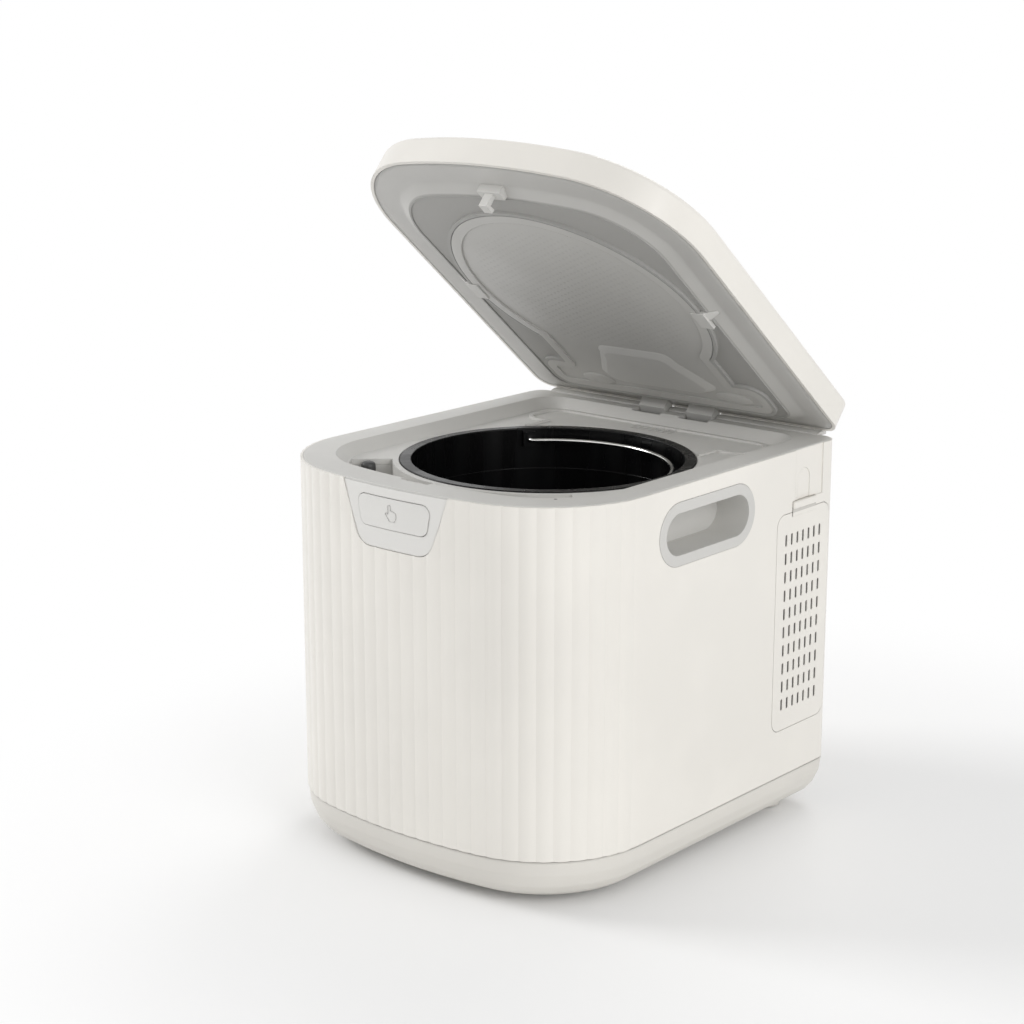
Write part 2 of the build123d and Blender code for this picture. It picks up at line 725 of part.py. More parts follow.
BUTTON_Z = DECK_Z - BUTTON_DROP
CUP_X = BUTTON_TOP + BUTTON_GAP
CUP_Y = FRONT_Y + CUP_DEEP
CUP_LOW_Z = BUTTON_Z - BUTTON_H - BUTTON_GAP
with BuildPart() as deck_form:
    with BuildSketch(Plane.XY.offset(DECK_LOW_Z)):
        add(plan(DECK_RIM + DECK_FIT))
    extrude(amount=DECK_T)
    chamfer(deck_form.edges().group_by(Axis.Z)[-1], 0.6)
    with BuildSketch(Plane.XY.offset(BASIN_Z)):
        add(recess_plan(BAND - DECK_T))
    extrude(amount=DECK_LOW_Z - BASIN_Z)
    with BuildSketch(Plane.XY.offset(POCKET_Z - POCKET_FLOOR_T)):
        add(crescent(POCKET_WALL))
    extrude(amount=BASIN_Z - POCKET_Z + POCKET_FLOOR_T)
    block(
        (-SLOT_W / 2 - POCKET_WALL, SLOT_FRONT - POCKET_WALL, POCKET_Z - POCKET_FLOOR_T),
        (SLOT_W / 2 + POCKET_WALL, SLOT_BACK, DECK_LOW_Z),
    )
    with BuildSketch(Plane.XY.offset(DECK_Z)):
        add(recess_plan(BAND))
    extrude(amount=-RECESS_DEEP, taper=45, mode=Mode.SUBTRACT)
    with BuildSketch(Plane.XY.offset(POCKET_Z)):
        add(crescent(0))
    extrude(amount=FLOOR_Z - POCKET_Z, mode=Mode.SUBTRACT)
    block((-SLOT_W / 2, SLOT_FRONT, POCKET_Z), (SLOT_W / 2, SLOT_BACK, DECK_Z), Mode.SUBTRACT)
    rod(DRIVE, RIM_LOW_Z - SEAT_GAP, DECK_Z, RIM_R + 3 * SEAT_GAP, Mode.SUBTRACT)
    rod(DRIVE, POCKET_Z - 5, DECK_Z, BUCKET_R + BUCKET_WALL + 1, Mode.SUBTRACT)
    with BuildSketch(Plane.XY.offset(FLOOR_Z)):
        add(cover_plan(GASKET_GAP + GASKET_W / 2 + SEAL_RIDGE_W / 2))
        add(cover_plan(GASKET_GAP + GASKET_W / 2 - SEAL_RIDGE_W / 2), mode=Mode.SUBTRACT)
        with Locations((0, BUCKET_Y + RIDGE_START + BODY_D / 2)):
            Rectangle(BODY_W, BODY_D, mode=Mode.INTERSECT)
        with Locations(DRIVE):
            Circle(RIM_R + 2, mode=Mode.SUBTRACT)
    extrude(amount=SEAL_RIDGE_H)
    with BuildSketch(Plane.XY.offset(FLOOR_Z)):
        with Locations((0, FAN_Y - VENT_L / 2)):
            with GridLocations(VENT_PITCH, 1, VENT_COUNT, 1):
                SlotOverall(VENT_L, VENT_W, rotation=90)
    extrude(amount=-BASIN_T, mode=Mode.SUBTRACT)
    for near, far in arm_slots:
        block(
            (min(near, far), FIELD_BACK_Y - ARM_ROOM, BASIN_Z),
            (max(near, far), BACK_Y, DECK_Z),
            Mode.SUBTRACT,
        )
    add(bib.part)
    block(
        (-CUP_X - CUP_WALL, FRONT_Y + BIB_T - 1, CUP_LOW_Z - CUP_WALL),
        (CUP_X + CUP_WALL, CUP_Y + CUP_WALL, DECK_LOW_Z),
    )
    with BuildSketch(front_plane(BUTTON_Z).offset(BAND_FRONT - CUP_DEEP)):
        add(tapered(BUTTON_TOP, BUTTON_BOTTOM, BUTTON_H, BUTTON_R, BUTTON_GAP, BUTTON_R))
    extrude(amount=BAND_FRONT, mode=Mode.SUBTRACT)
    block(
        (-LATCH_W / 2 - BUTTON_GAP, CUP_Y - 1, LATCH_Z - LATCH_T - BUTTON_GAP),
        (LATCH_W / 2 + BUTTON_GAP, SLOT_FRONT + 1, LATCH_Z + BUTTON_GAP),
        Mode.SUBTRACT,
    )
with BuildPart() as below_deck:
    with BuildSketch():
        add(plan(BIB_T))
    extrude(amount=BASIN_Z)
with BuildPart() as deck:
    add(deck_form.part)
    add(below_deck.part, mode=Mode.SUBTRACT)
keep(deck, "deck")

with BuildPart() as latch_housing:
    add(deck_form.part)
    add(below_deck.part, mode=Mode.INTERSECT)
keep(latch_housing, "latch_housing")

# ---- release button, latch slider, springs, lid switch -------------------------------------
with BuildPart() as release_button:
    with BuildSketch(Plane.XY.offset(BUTTON_Z - BUTTON_H)):
        add(plan(-BUTTON_PROUD))
        add(plan(BUTTON_T), mode=Mode.SUBTRACT)
    extrude(amount=BUTTON_H)
    with BuildSketch(front_plane(BUTTON_Z)):
        add(tapered(BUTTON_TOP, BUTTON_BOTTOM, BUTTON_H, BUTTON_R, 0.0, BUTTON_R))
    extrude(amount=2 * BAND_FRONT, mode=Mode.INTERSECT)
keep(release_button, "release_button")

LATCH_LOW_Z = LATCH_Z - LATCH_T
LATCH_START_Y = FRONT_Y + BUTTON_T + DECK_FIT
hook_front_y = HOOK_Y - HOOK_T / 2
hook_back_y = HOOK_Y + HOOK_T / 2
with BuildPart() as latch_slider:
    block((-LATCH_W / 2, LATCH_START_Y, LATCH_LOW_Z), (LATCH_W / 2, SLOT_BACK - 1, LATCH_Z))
    block(
        (-HOOK_W / 2 - 1, hook_front_y - HOOK_GAP - BUTTON_TRAVEL, LATCH_LOW_Z),
        (HOOK_W / 2 + 1, hook_back_y + HOOK_NOSE - BUTTON_TRAVEL + HOOK_GAP, LATCH_Z),
        Mode.SUBTRACT,
    )
    block(
        (-LATCH_W / 2, LATCH_START_Y, LATCH_LOW_Z),
        (LATCH_W / 2, LATCH_START_Y + LATCH_T, LATCH_Z + LATCH_PAD_RISE),
    )
keep(latch_slider, "latch_slider")

spring_low_y = FRONT_Y + BUTTON_T + 1.0
with BuildPart() as button_springs:
    for x in (-SPRING_X, SPRING_X):
        length = CUP_Y - spring_low_y - 2 * SPRING_WIRE
        with BuildLine() as coil:
            Helix(
                length / SPRING_TURNS,
                length,
                SPRING_R,
                center=(x, spring_low_y + SPRING_WIRE, DECK_Z - SPRING_DROP),
                direction=(0, 1, 0),
            )
        with BuildSketch(Plane(origin=coil.line @ 0, z_dir=coil.line % 0)):
            Circle(SPRING_WIRE)
        sweep(path=coil.line)
keep(button_springs, "button_springs")

SENSOR_LOW_Z = POCKET_Z
with BuildPart() as lid_switch:
    rod(SENSOR_AT, SENSOR_LOW_Z, SENSOR_LOW_Z + SENSOR_H, SENSOR_R)
    fillet(lid_switch.edges().group_by(Axis.Z)[-1], SENSOR_R * 0.6)
keep(lid_switch, "lid_switch")

# ---- handle cups --------------------------------------------------------------------------
for side, name in ((1, "handle_cup_right"), (-1, "handle_cup_left")):
    face_at = (side * (SIDE_X + HANDLE_PROUD), BUCKET_Y, HANDLE_Z)
    face = Plane(origin=face_at, x_dir=(0, 1, 0), z_dir=(side, 0, 0))
    with BuildPart() as handle_cup:
        with BuildSketch(face):
            SlotOverall(HANDLE_L, HANDLE_H)
        extrude(amount=-WALL - HANDLE_PROUD)
        fillet(handle_cup.edges().group_by(Axis.X)[-1 if side > 0 else 0], HANDLE_PROUD)
        with BuildSketch(face):
            SlotOverall(
                HANDLE_L - 2 * HANDLE_RING + 2 * HANDLE_WALL, HANDLE_H - 2 * HANDLE_RING + 2 * HANDLE_WALL
            )
        extrude(amount=-HANDLE_DEEP - HANDLE_WALL)
        with BuildSketch(face):
            SlotOverall(HANDLE_L - 2 * HANDLE_RING, HANDLE_H - 2 * HANDLE_RING)
        extrude(amount=-HANDLE_DEEP, mode=Mode.SUBTRACT)
    keep(handle_cup, name)

# ---- hinge: bracket, pin, washers ---------------------------------------------------------
hinge_line = Plane(origin=(0, HINGE_Y, HINGE_Z), x_dir=(0, 1, 0), z_dir=(1, 0, 0))
ear_spans = [
    (-ARM_IN + EAR_GAP, ARM_IN - EAR_GAP),
    (ARM_OUT + EAR_GAP, EAR_OUT_X),
    (-EAR_OUT_X, -ARM_OUT - EAR_GAP),
]
BRACKET_Y = INNER_BACK_Y - BRACKET_T
with BuildPart() as hinge_bracket:
    block(
        (-EAR_OUT_X - 6, BRACKET_Y, HINGE_Z - BARREL_R - 2 - BRACKET_H),
        (EAR_OUT_X + 6, INNER_BACK_Y, HINGE_Z - BARREL_R - 2),
    )
    for low, high in ear_spans:
        block((low, BRACKET_Y, HINGE_Z - BARREL_R - 8), (high, HINGE_Y, HINGE_Z))
        with BuildSketch(hinge_line.offset(low)):
            Circle(EAR_R)
        extrude(amount=high - low)
    with BuildSketch(hinge_line.offset(-EAR_OUT_X)):
        Circle(PIN_R + PIN_FIT)
    extrude(amount=2 * EAR_OUT_X, mode=Mode.SUBTRACT)
keep(hinge_bracket, "hinge_bracket")

with BuildPart() as hinge_pin:
    with BuildSketch(hinge_line.offset(-EAR_OUT_X - 0.5)):
        Circle(PIN_R)
    extrude(amount=2 * EAR_OUT_X + 1)
    chamfer(hinge_pin.edges(), 0.4)
keep(hinge_pin, "hinge_pin")

washer_at = [ARM_OUT + (EAR_GAP - WASHER_T) / 2, ARM_IN - EAR_GAP + (EAR_GAP - WASHER_T) / 2]
with BuildPart() as friction_washers:
    for x in washer_at:
        for start in (x, -x - WASHER_T):
            with BuildSketch(hinge_line.offset(start)):
                Circle(BARREL_R)
                Circle(PIN_R + PIN_FIT, mode=Mode.SUBTRACT)
            extrude(amount=WASHER_T)
keep(friction_washers, "friction_washers")

# ---- lid: everything is drawn closed, in a frame that stands open about the hinge -----------
opening = radians(LID_REST)
lid_y = HINGE_Y - HINGE_Y * cos(opening) - HINGE_Z * sin(opening)
lid_z = HINGE_Z + HINGE_Y * sin(opening) - HINGE_Z * cos(opening)
LID = Plane(origin=(0, lid_y, lid_z), x_dir=(1, 0, 0), z_dir=(0, sin(opening), cos(opening)))
LID_SIDE = Plane(LID.location * Plane.YZ.location)
LID_BACK_Y = BACK_Y - LID_BACK


def lid_plan(inset):
    """The lid's outline, moved inwards."""
    return plan(inset, LID_BACK_Y - inset, None, max(LID_BACK_R - inset, 1))


def field_plan(step):
    """The flat field under the lid, which drops into the deck's dish."""
    front = BAND_FRONT - FIELD_EDGE + step
    return plan(BAND - FIELD_EDGE + step, FIELD_BACK_Y - step, front, max(RECESS_CORNER_R - step, 1))


with BuildPart(LID) as lid_shell:
    with BuildSketch(LID.offset(LID_LOW_Z)):
        add(lid_plan(0))
    extrude(amount=LID_H)
    top = lid_shell.faces().filter_by(LID).sort_by(Axis(LID.origin, LID.z_dir))[-1]
    fillet(top.edges(), LID_EDGE_R)
    with BuildSketch(LID.offset(LID_LOW_Z)):
        add(lid_plan(LID_WALL))
    extrude(amount=LID_H - LID_WALL, mode=Mode.SUBTRACT)
    with BuildSketch(LID.offset(LID_TOP_Z)):
        with Locations((0, FRONT_Y + PANEL_IN)):
            RectangleRounded(PANEL_W + 2 * DECK_FIT, PANEL_D + 2 * DECK_FIT, PANEL_R)
    extrude(amount=-PANEL_T, mode=Mode.SUBTRACT)
keep(lid_shell, "lid_shell")

LINER_Z = LID_LOW_Z + LINER_FIT
with BuildPart(LID) as lid_liner:
    with BuildSketch(LID.offset(LINER_Z)):
        add(lid_plan(LID_WALL + LINER_FIT))
    extrude(amount=LINER_T)
    with BuildSketch(LID.offset(LINER_Z)):
        add(field_plan(0))
    extrude(amount=-FIELD_DROP, taper=FIELD_SLOPE)
    with BuildSketch(LID.offset(FIELD_Z)):
        add(field_plan(FIELD_RUN))
        add(field_plan(FIELD_RUN + FIELD_BEAD_W), mode=Mode.SUBTRACT)
    extrude(amount=-FIELD_BEAD_H)
    with BuildSketch(LID.offset(LINER_Z + LINER_T)):
        add(field_plan(LINER_T / 2))
    extrude(amount=-FIELD_DROP, taper=FIELD_SLOPE, mode=Mode.SUBTRACT)
keep(lid_liner, "lid_liner")

with BuildPart(LID) as inner_cover:
    with BuildSketch(LID.offset(COVER_LOW_Z)):
        add(cover_plan())
    extrude(amount=COVER_H)
    with BuildSketch(LID.offset(COVER_LOW_Z)):
        add(cover_plan(-COVER_RIM))
    extrude(amount=COVER_DISH, mode=Mode.SUBTRACT)
    with BuildSketch(LID.offset(COVER_LOW_Z + COVER_DISH)):
        with Locations((0, BACK_Y - HOOD_IN)):
            RectangleRounded(HOOD_W, HOOD_D, HOOD_D / 4)
    extrude(amount=-HOOD_H, taper=20)
keep(inner_cover, "inner_cover")

with BuildPart(LID) as lid_gasket:
    with BuildSketch(LID.offset(FIELD_Z - GASKET_H)):
        add(cover_plan(GASKET_GAP + GASKET_W))
        add(cover_plan(GASKET_GAP), mode=Mode.SUBTRACT)
    extrude(amount=GASKET_H)
keep(lid_gasket, "lid_gasket")

clip_in_x = COVER_R + GASKET_GAP + GASKET_W + CLIP_STEP
clip_low_y = BUCKET_Y + CLIP_SHIFT - CLIP_L / 2
with BuildPart(LID) as cover_clips:
    for side in (-1, 1):
        near, far = side * clip_in_x, side * (clip_in_x + CLIP_W)
        block(
            (min(near, far), clip_low_y, COVER_LOW_Z - CLIP_T - CLIP_STEP),
            (max(near, far), clip_low_y + CLIP_L, FIELD_Z),
        )
        near, far = side * (COVER_R - CLIP_REACH), side * (clip_in_x + 1)
        block(
            (min(near, far), clip_low_y, COVER_LOW_Z - CLIP_T - CLIP_STEP),
            (max(near, far), clip_low_y + CLIP_L, COVER_LOW_Z - CLIP_STEP),
        )
keep(cover_clips, "cover_clips")

HOOK_NOSE_Z = LATCH_LOW_Z - BUTTON_GAP
with BuildPart(LID) as hook_form:
    block(
        (-HOOK_BASE_W / 2, HOOK_Y - 3, LINER_Z - HOOK_BASE_H),
        (HOOK_BASE_W / 2, HOOK_Y - 3 + HOOK_BASE_D / 2, LINER_Z),
    )
    block((-HOOK_W / 2, hook_front_y, HOOK_NOSE_Z - HOOK_NOSE_H), (HOOK_W / 2, hook_back_y, LINER_Z))
    block(
        (-HOOK_W / 2, hook_front_y, HOOK_NOSE_Z - HOOK_NOSE_H),
        (HOOK_W / 2, hook_back_y + HOOK_NOSE, HOOK_NOSE_Z),
    )
with BuildPart() as latch_hook:
    add(hook_form.part)
    add(lid_liner.part, mode=Mode.SUBTRACT)
keep(latch_hook, "latch_hook")

with BuildPart(LID) as hinge_arms:
    for near, far in ((ARM_IN, ARM_OUT), (-ARM_OUT, -ARM_IN)):
        with BuildSketch(LID_SIDE.offset(near)):
            with BuildLine():
                Polyline(
                    (FIELD_BACK_Y, LINER_Z),
                    (LID_BACK_Y - LID_WALL - LINER_FIT, LINER_Z),
                    (LID_BACK_Y - LID_WALL - LINER_FIT, LID_LOW_Z - LINER_FIT),
                    (HINGE_Y, HINGE_Z + BARREL_R),
                    (HINGE_Y, HINGE_Z - BARREL_R),
                    (FIELD_BACK_Y, HINGE_Z + BARREL_R / 2),
                    close=True,
                )
            make_face()
            with Locations((HINGE_Y, HINGE_Z)):
                Circle(BARREL_R)
        extrude(amount=far - near)
        with BuildSketch(LID_SIDE.offset(near)):
            with Locations((HINGE_Y, HINGE_Z)):
                Circle(PIN_R + PIN_FIT)
        extrude(amount=far - near, mode=Mode.SUBTRACT)
keep(hinge_arms, "hinge_arms")

with BuildPart(LID) as control_panel:
    with BuildSketch(LID.offset(LID_TOP_Z - PANEL_T)):
        with Locations((0, FRONT_Y + PANEL_IN)):
            RectangleRounded(PANEL_W, PANEL_D, PANEL_R)
    extrude(amount=PANEL_T)
keep(control_panel, "control_panel")

with BuildPart(LID) as display_board:
    with BuildSketch(LID.offset(LID_TOP_Z - LID_WALL - BOARD_T)):
        with Locations((0, FRONT_Y + PANEL_IN)):
            Rectangle(PANEL_W - PANEL_R, PANEL_D - PANEL_R)
    extrude(amount=BOARD_T)
keep(display_board, "display_board")

# ---- bucket, bush, cutters, bail ----------------------------------------------------------
BUCKET_OUT_R = BUCKET_R + BUCKET_WALL
with BuildPart() as bucket:
    rod(DRIVE, BUCKET_LOW_Z, RIM_TOP_Z, BUCKET_OUT_R)
    rod(DRIVE, RIM_LOW_Z, RIM_TOP_Z, RIM_R)
    rod(DRIVE, BUCKET_IN_Z, RIM_TOP_Z, BUCKET_R, Mode.SUBTRACT)
    rings = bucket.edges().filter_by(GeomType.CIRCLE)
    fillet(rings.group_by(Axis.Z)[0], BUCKET_EDGE_R)
    circles = bucket.edges().filter_by(GeomType.CIRCLE)
    rings = circles.filter_by(lambda e: abs(e.radius - BUCKET_R) < DECK_FIT)
    fillet(rings.group_by(Axis.Z)[0], BUCKET_EDGE_R - BUCKET_WALL)
    rod(DRIVE, BUCKET_LOW_Z - 1, BUCKET_IN_Z + 1, BUSH_R, Mode.SUBTRACT)
    rim_edges = bucket.edges().group_by(Axis.Z)[-1]
    fillet(rim_edges, RIM_T / 3)
keep(bucket, "bucket")

with BuildPart() as bucket_bush:
    rod(DRIVE, BUCKET_LOW_Z, BUCKET_IN_Z, BUSH_R)
    rod(DRIVE, BUCKET_IN_Z, BUCKET_IN_Z + BUSH_FLANGE_T, BUSH_FLANGE_R)
    rod(DRIVE, BUCKET_LOW_Z, BUCKET_IN_Z + BUSH_FLANGE_T, SHAFT_R + SHAFT_FIT, Mode.SUBTRACT)
keep(bucket_bush, "bucket_bush")

with BuildPart() as fixed_cutters:
    for angle in (30, 210):
        start = turn(angle, BUCKET_R - CUTTER_L, DRIVE)
        end = turn(angle, BUCKET_R, DRIVE)
        middle = ((start[0] + end[0]) / 2, (start[1] + end[1]) / 2, BUCKET_IN_Z + CUTTER_Z + CUTTER_H / 2)
        with Locations(Location(middle, (0, 0, angle))):
            Box(CUTTER_L + 2, CUTTER_T, CUTTER_H)
    chamfer(fixed_cutters.edges().filter_by(GeomType.LINE).group_by(Axis.Z)[-1], 1.5)
    rod(DRIVE, BUCKET_IN_Z, RIM_TOP_Z, BUCKET_R, Mode.INTERSECT)
keep(fixed_cutters, "fixed_cutters")

bail_z = DECK_Z - BAIL_DROP
bail_axis = turn(BAIL_ANGLE, 1.0)
BAIL = Plane(origin=(*DRIVE, bail_z), x_dir=(*bail_axis, 0), z_dir=(0, 0, -1))
ear_in_r = BUCKET_R - EAR_D
with BuildPart(BAIL) as bail_ears:
    for side in (-1, 1):
        near, far = side * ear_in_r, side * (BUCKET_R + 1)
        block((min(near, far), -EAR_W / 2, -EAR_H / 2), (max(near, far), EAR_W / 2, EAR_H / 2))
    with BuildSketch(Plane(BAIL.location * Plane.YZ.location).offset(-BUCKET_R)):
        Circle(BAIL_WIRE_R + BAIL_FIT)
    extrude(amount=2 * BUCKET_R, mode=Mode.SUBTRACT)
    with BuildSketch(BAIL.offset(-EAR_H)):
        Circle(BUCKET_R)
    extrude(amount=2 * EAR_H, mode=Mode.INTERSECT)
keep(bail_ears, "bail_ears")

BAIL_R = BUCKET_R - BAIL_IN
bend_x = sqrt((BAIL_R + BAIL_BEND_R) ** 2 - BAIL_BEND_R**2)
bend_turn = degrees(asin(BAIL_BEND_R / (BAIL_R + BAIL_BEND_R)))
wire_end = BUCKET_R - BAIL_FIT * 4
with BuildPart(BAIL) as bail_handle:
    with BuildLine(BAIL) as wire:
        Line((wire_end, 0), (bend_x, 0))
        CenterArc((bend_x, BAIL_BEND_R), BAIL_BEND_R, -90, -90 - bend_turn + 2 * bend_turn)
        CenterArc((0, 0), BAIL_R, bend_turn, 180 - 2 * bend_turn)
        CenterArc((-bend_x, BAIL_BEND_R), BAIL_BEND_R, -bend_turn, -90 + bend_turn)
        Line((-bend_x, 0), (-wire_end, 0))
    with BuildSketch(Plane(origin=wire.line @ 0, z_dir=wire.line % 0)):
        Circle(BAIL_WIRE_R)
    sweep(path=wire.line)
keep(bail_handle, "bail_handle")

# ---- agitator -----------------------------------------------------------------------------
HUB_Z = BUCKET_IN_Z + BUSH_FLANGE_T + HEATER_GAP
SOCKET_LOW_Z = CHAMBER_FLOOR_Z + LINER_WALL + HEATER_GAP + 1.0
SOCKET_TOP_Z = BUCKET_LOW_Z - HEATER_GAP
DOG_LOW_Z = CHAMBER_FLOOR_Z + LINER_WALL + HEATER_GAP


def sweep_arm(length, width):
    """A curved arm in plan, from the hub outwards along +X."""
    with BuildSketch() as shape:
        with BuildLine():
            ThreePointArc((0, width * 0.8), (length / 2, width * 1.5), (length, width / 4))
            Line((length, width / 4), (length, -width / 4))
            ThreePointArc((length, -width / 4), (length / 2, width * 0.4), (0, -width * 0.8))
            Line((0, -width * 0.8), (0, width * 0.8))
        make_face()
    return shape.sketch


with BuildPart() as agitator:
    rod(DRIVE, SOCKET_LOW_Z, SOCKET_TOP_Z, SOCKET_R)
    rod(DRIVE, SOCKET_TOP_Z, HUB_Z, SHAFT_R)
    with Locations((*DRIVE, HUB_Z + HUB_H / 2)):
        Cone(HUB_R, HUB_R * 0.6, HUB_H)
    for height, short, start in ((ARM_LOW_Z, ARM_LOW_IN, 0), (ARM_HIGH_Z, ARM_HIGH_IN, 90)):
        for angle in (start, start + 180):
            level = Plane(origin=(*DRIVE, HUB_Z + height), x_dir=(*turn(angle, 1.0), 0), z_dir=(0, 0, 1))
            with BuildSketch(level):
                add(sweep_arm(BUCKET_R - short, ARM_T))
            extrude(amount=ARM_H - BUSH_FLANGE_T)
    with BuildSketch(Plane(origin=(*DRIVE, SOCKET_LOW_Z))):
        Rectangle(DOG_ACROSS + 2 * DOG_GAP, DOG_ACROSS + 2 * DOG_GAP)
    extrude(amount=DOG_H, mode=Mode.SUBTRACT)
keep(agitator, "agitator")

# ---- chamber ------------------------------------------------------------------------------
CHAMBER_TOP_Z = CHAMBER_FLOOR_Z + LINER_WALL
SEAL_R = DRIVE_R + 4.0
with BuildPart() as chamber_liner:
    rod(DRIVE, CHAMBER_FLOOR_Z, BASIN_Z, LINER_R + LINER_WALL)
    rod(DRIVE, CHAMBER_TOP_Z, BASIN_Z, LINER_R, Mode.SUBTRACT)
    rod(DRIVE, CHAMBER_FLOOR_Z, CHAMBER_TOP_Z, SEAL_R, Mode.SUBTRACT)
keep(chamber_liner, "chamber_liner")

with BuildPart() as shaft_seal:
    rod(DRIVE, CHAMBER_FLOOR_Z, CHAMBER_TOP_Z, SEAL_R)
    rod(DRIVE, CHAMBER_FLOOR_Z, CHAMBER_TOP_Z, DRIVE_R + PIN_FIT, Mode.SUBTRACT)
keep(shaft_seal, "shaft_seal")

with BuildPart() as heater_plate:
    rod(DRIVE, CHAMBER_TOP_Z, BUCKET_LOW_Z - HEATER_GAP, HEATER_R - BUCKET_EDGE_R / 4)
    rod(DRIVE, CHAMBER_TOP_Z, BUCKET_LOW_Z - HEATER_GAP, HEATER_HOLE_R, Mode.SUBTRACT)
keep(heater_plate, "heater_plate")

with BuildPart() as thermal_jacket:
    rod(DRIVE, CHAMBER_TOP_Z + JACKET_LOW, BASIN_Z - JACKET_TOP, JACKET_R + JACKET_T)
    rod(DRIVE, CHAMBER_TOP_Z + JACKET_LOW, BASIN_Z - JACKET_TOP, JACKET_R, Mode.SUBTRACT)
keep(thermal_jacket, "thermal_jacket")

with BuildPart() as temperature_sensor:
    sensor_at = turn(100, HEATER_R * 0.6, DRIVE)
    rod(sensor_at, CHAMBER_FLOOR_Z - 6, CHAMBER_FLOOR_Z, POST_R + 1)
    rod(sensor_at, CHAMBER_FLOOR_Z - 10, CHAMBER_FLOOR_Z - 6, POST_R / 2)
keep(temperature_sensor, "temperature_sensor")

# ---- drive --------------------------------------------------------------------------------
BEARING_LOW_Z = CASE_LOW_Z + CASE_WALL - BEARING_H
with BuildPart() as drive_shaft:
    rod(DRIVE, BEARING_LOW_Z, DOG_LOW_Z, DRIVE_R)
    with BuildSketch(Plane(origin=(*DRIVE, DOG_LOW_Z))):
        Rectangle(DOG_ACROSS, DOG_ACROSS)
    extrude(amount=DOG_H)
    chamfer(drive_shaft.edges().group_by(Axis.Z)[-1], DOG_CHAMFER)
keep(drive_shaft, "drive_shaft")

with BuildPart() as output_gear:
    with BuildSketch(Plane(origin=(*DRIVE, GEAR_Z))):
        add(gear(GEAR_TEETH))
        Circle(DRIVE_R, mode=Mode.SUBTRACT)
        with PolarLocations(WHEEL_R * 0.6, 6):
            Circle(DRIVE_R, mode=Mode.SUBTRACT)
    extrude(amount=GEAR_FACE)
keep(output_gear, "output_gear")

with BuildPart() as pinion_shaft:
    rod(PINION, CASE_LOW_Z + PIN_FIT, CASE_TOP_Z - PIN_FIT, MOTOR_SHAFT_R)
    with BuildSketch(Plane(origin=(*PINION, GEAR_Z))):
        add(gear(PINION_TEETH, 180 / PINION_TEETH))
    extrude(amount=GEAR_FACE)
keep(pinion_shaft, "pinion_shaft")

with BuildPart() as motor:
    rod(PINION, CHASSIS_TOP_Z, CASE_LOW_Z - MOTOR_NECK, MOTOR_R)
    rod(PINION, CASE_LOW_Z - MOTOR_NECK, CASE_LOW_Z, MOTOR_R / 2)
    chamfer(motor.edges().filter_by(GeomType.CIRCLE).group_by(Axis.Z)[1], 1.5)
keep(motor, "motor")


def case_plan(wall):
    """The gearbox outline: a hull round the gear and the pinion."""
    with BuildSketch() as shape:
        with Locations(DRIVE):
            Circle(WHEEL_R + ADDENDUM * GEAR_MODULE + CASE_ROOM + wall)
        with Locations(PINION):
            Circle(PINION_R + ADDENDUM * GEAR_MODULE + CASE_ROOM + wall)
        make_hull()
    return shape.sketch


with BuildPart() as gearbox_case:
    with BuildSketch(Plane.XY.offset(CASE_LOW_Z)):
        add(case_plan(CASE_WALL))
    extrude(amount=CASE_TOP_Z - CASE_LOW_Z)
    with BuildSketch(Plane.XY.offset(CASE_LOW_Z + CASE_WALL)):
        add(case_plan(0))
    extrude(amount=CASE_TOP_Z - CASE_LOW_Z - CASE_WALL, mode=Mode.SUBTRACT)
    rod(DRIVE, BEARING_LOW_Z, CASE_LOW_Z, BEARING_R + CASE_WALL)
    rod(DRIVE, BEARING_LOW_Z, CASE_LOW_Z + CASE_WALL, BEARING_R, Mode.SUBTRACT)
    rod(PINION, CASE_LOW_Z, CASE_LOW_Z + CASE_WALL, MOTOR_SHAFT_R + PIN_FIT, Mode.SUBTRACT)
keep(gearbox_case, "gearbox_case")

with BuildPart() as gearbox_cover:
    with BuildSketch(Plane.XY.offset(CASE_TOP_Z)):
        add(case_plan(CASE_WALL))
    extrude(amount=CASE_WALL)
    rod(DRIVE, CASE_TOP_Z, CASE_TOP_Z + BEARING_H, BEARING_R + CASE_WALL)
    rod(DRIVE, CASE_TOP_Z, CASE_TOP_Z + BEARING_H, BEARING_R, Mode.SUBTRACT)
keep(gearbox_cover, "gearbox_cover")

with BuildPart() as drive_bearings:
    for low in (BEARING_LOW_Z, CASE_TOP_Z):
        rod(DRIVE, low, low + BEARING_H, BEARING_R)
    rod(DRIVE, BEARING_LOW_Z, CASE_TOP_Z + BEARING_H, DRIVE_R + PIN_FIT, Mode.SUBTRACT)
keep(drive_bearings, "drive_bearings")

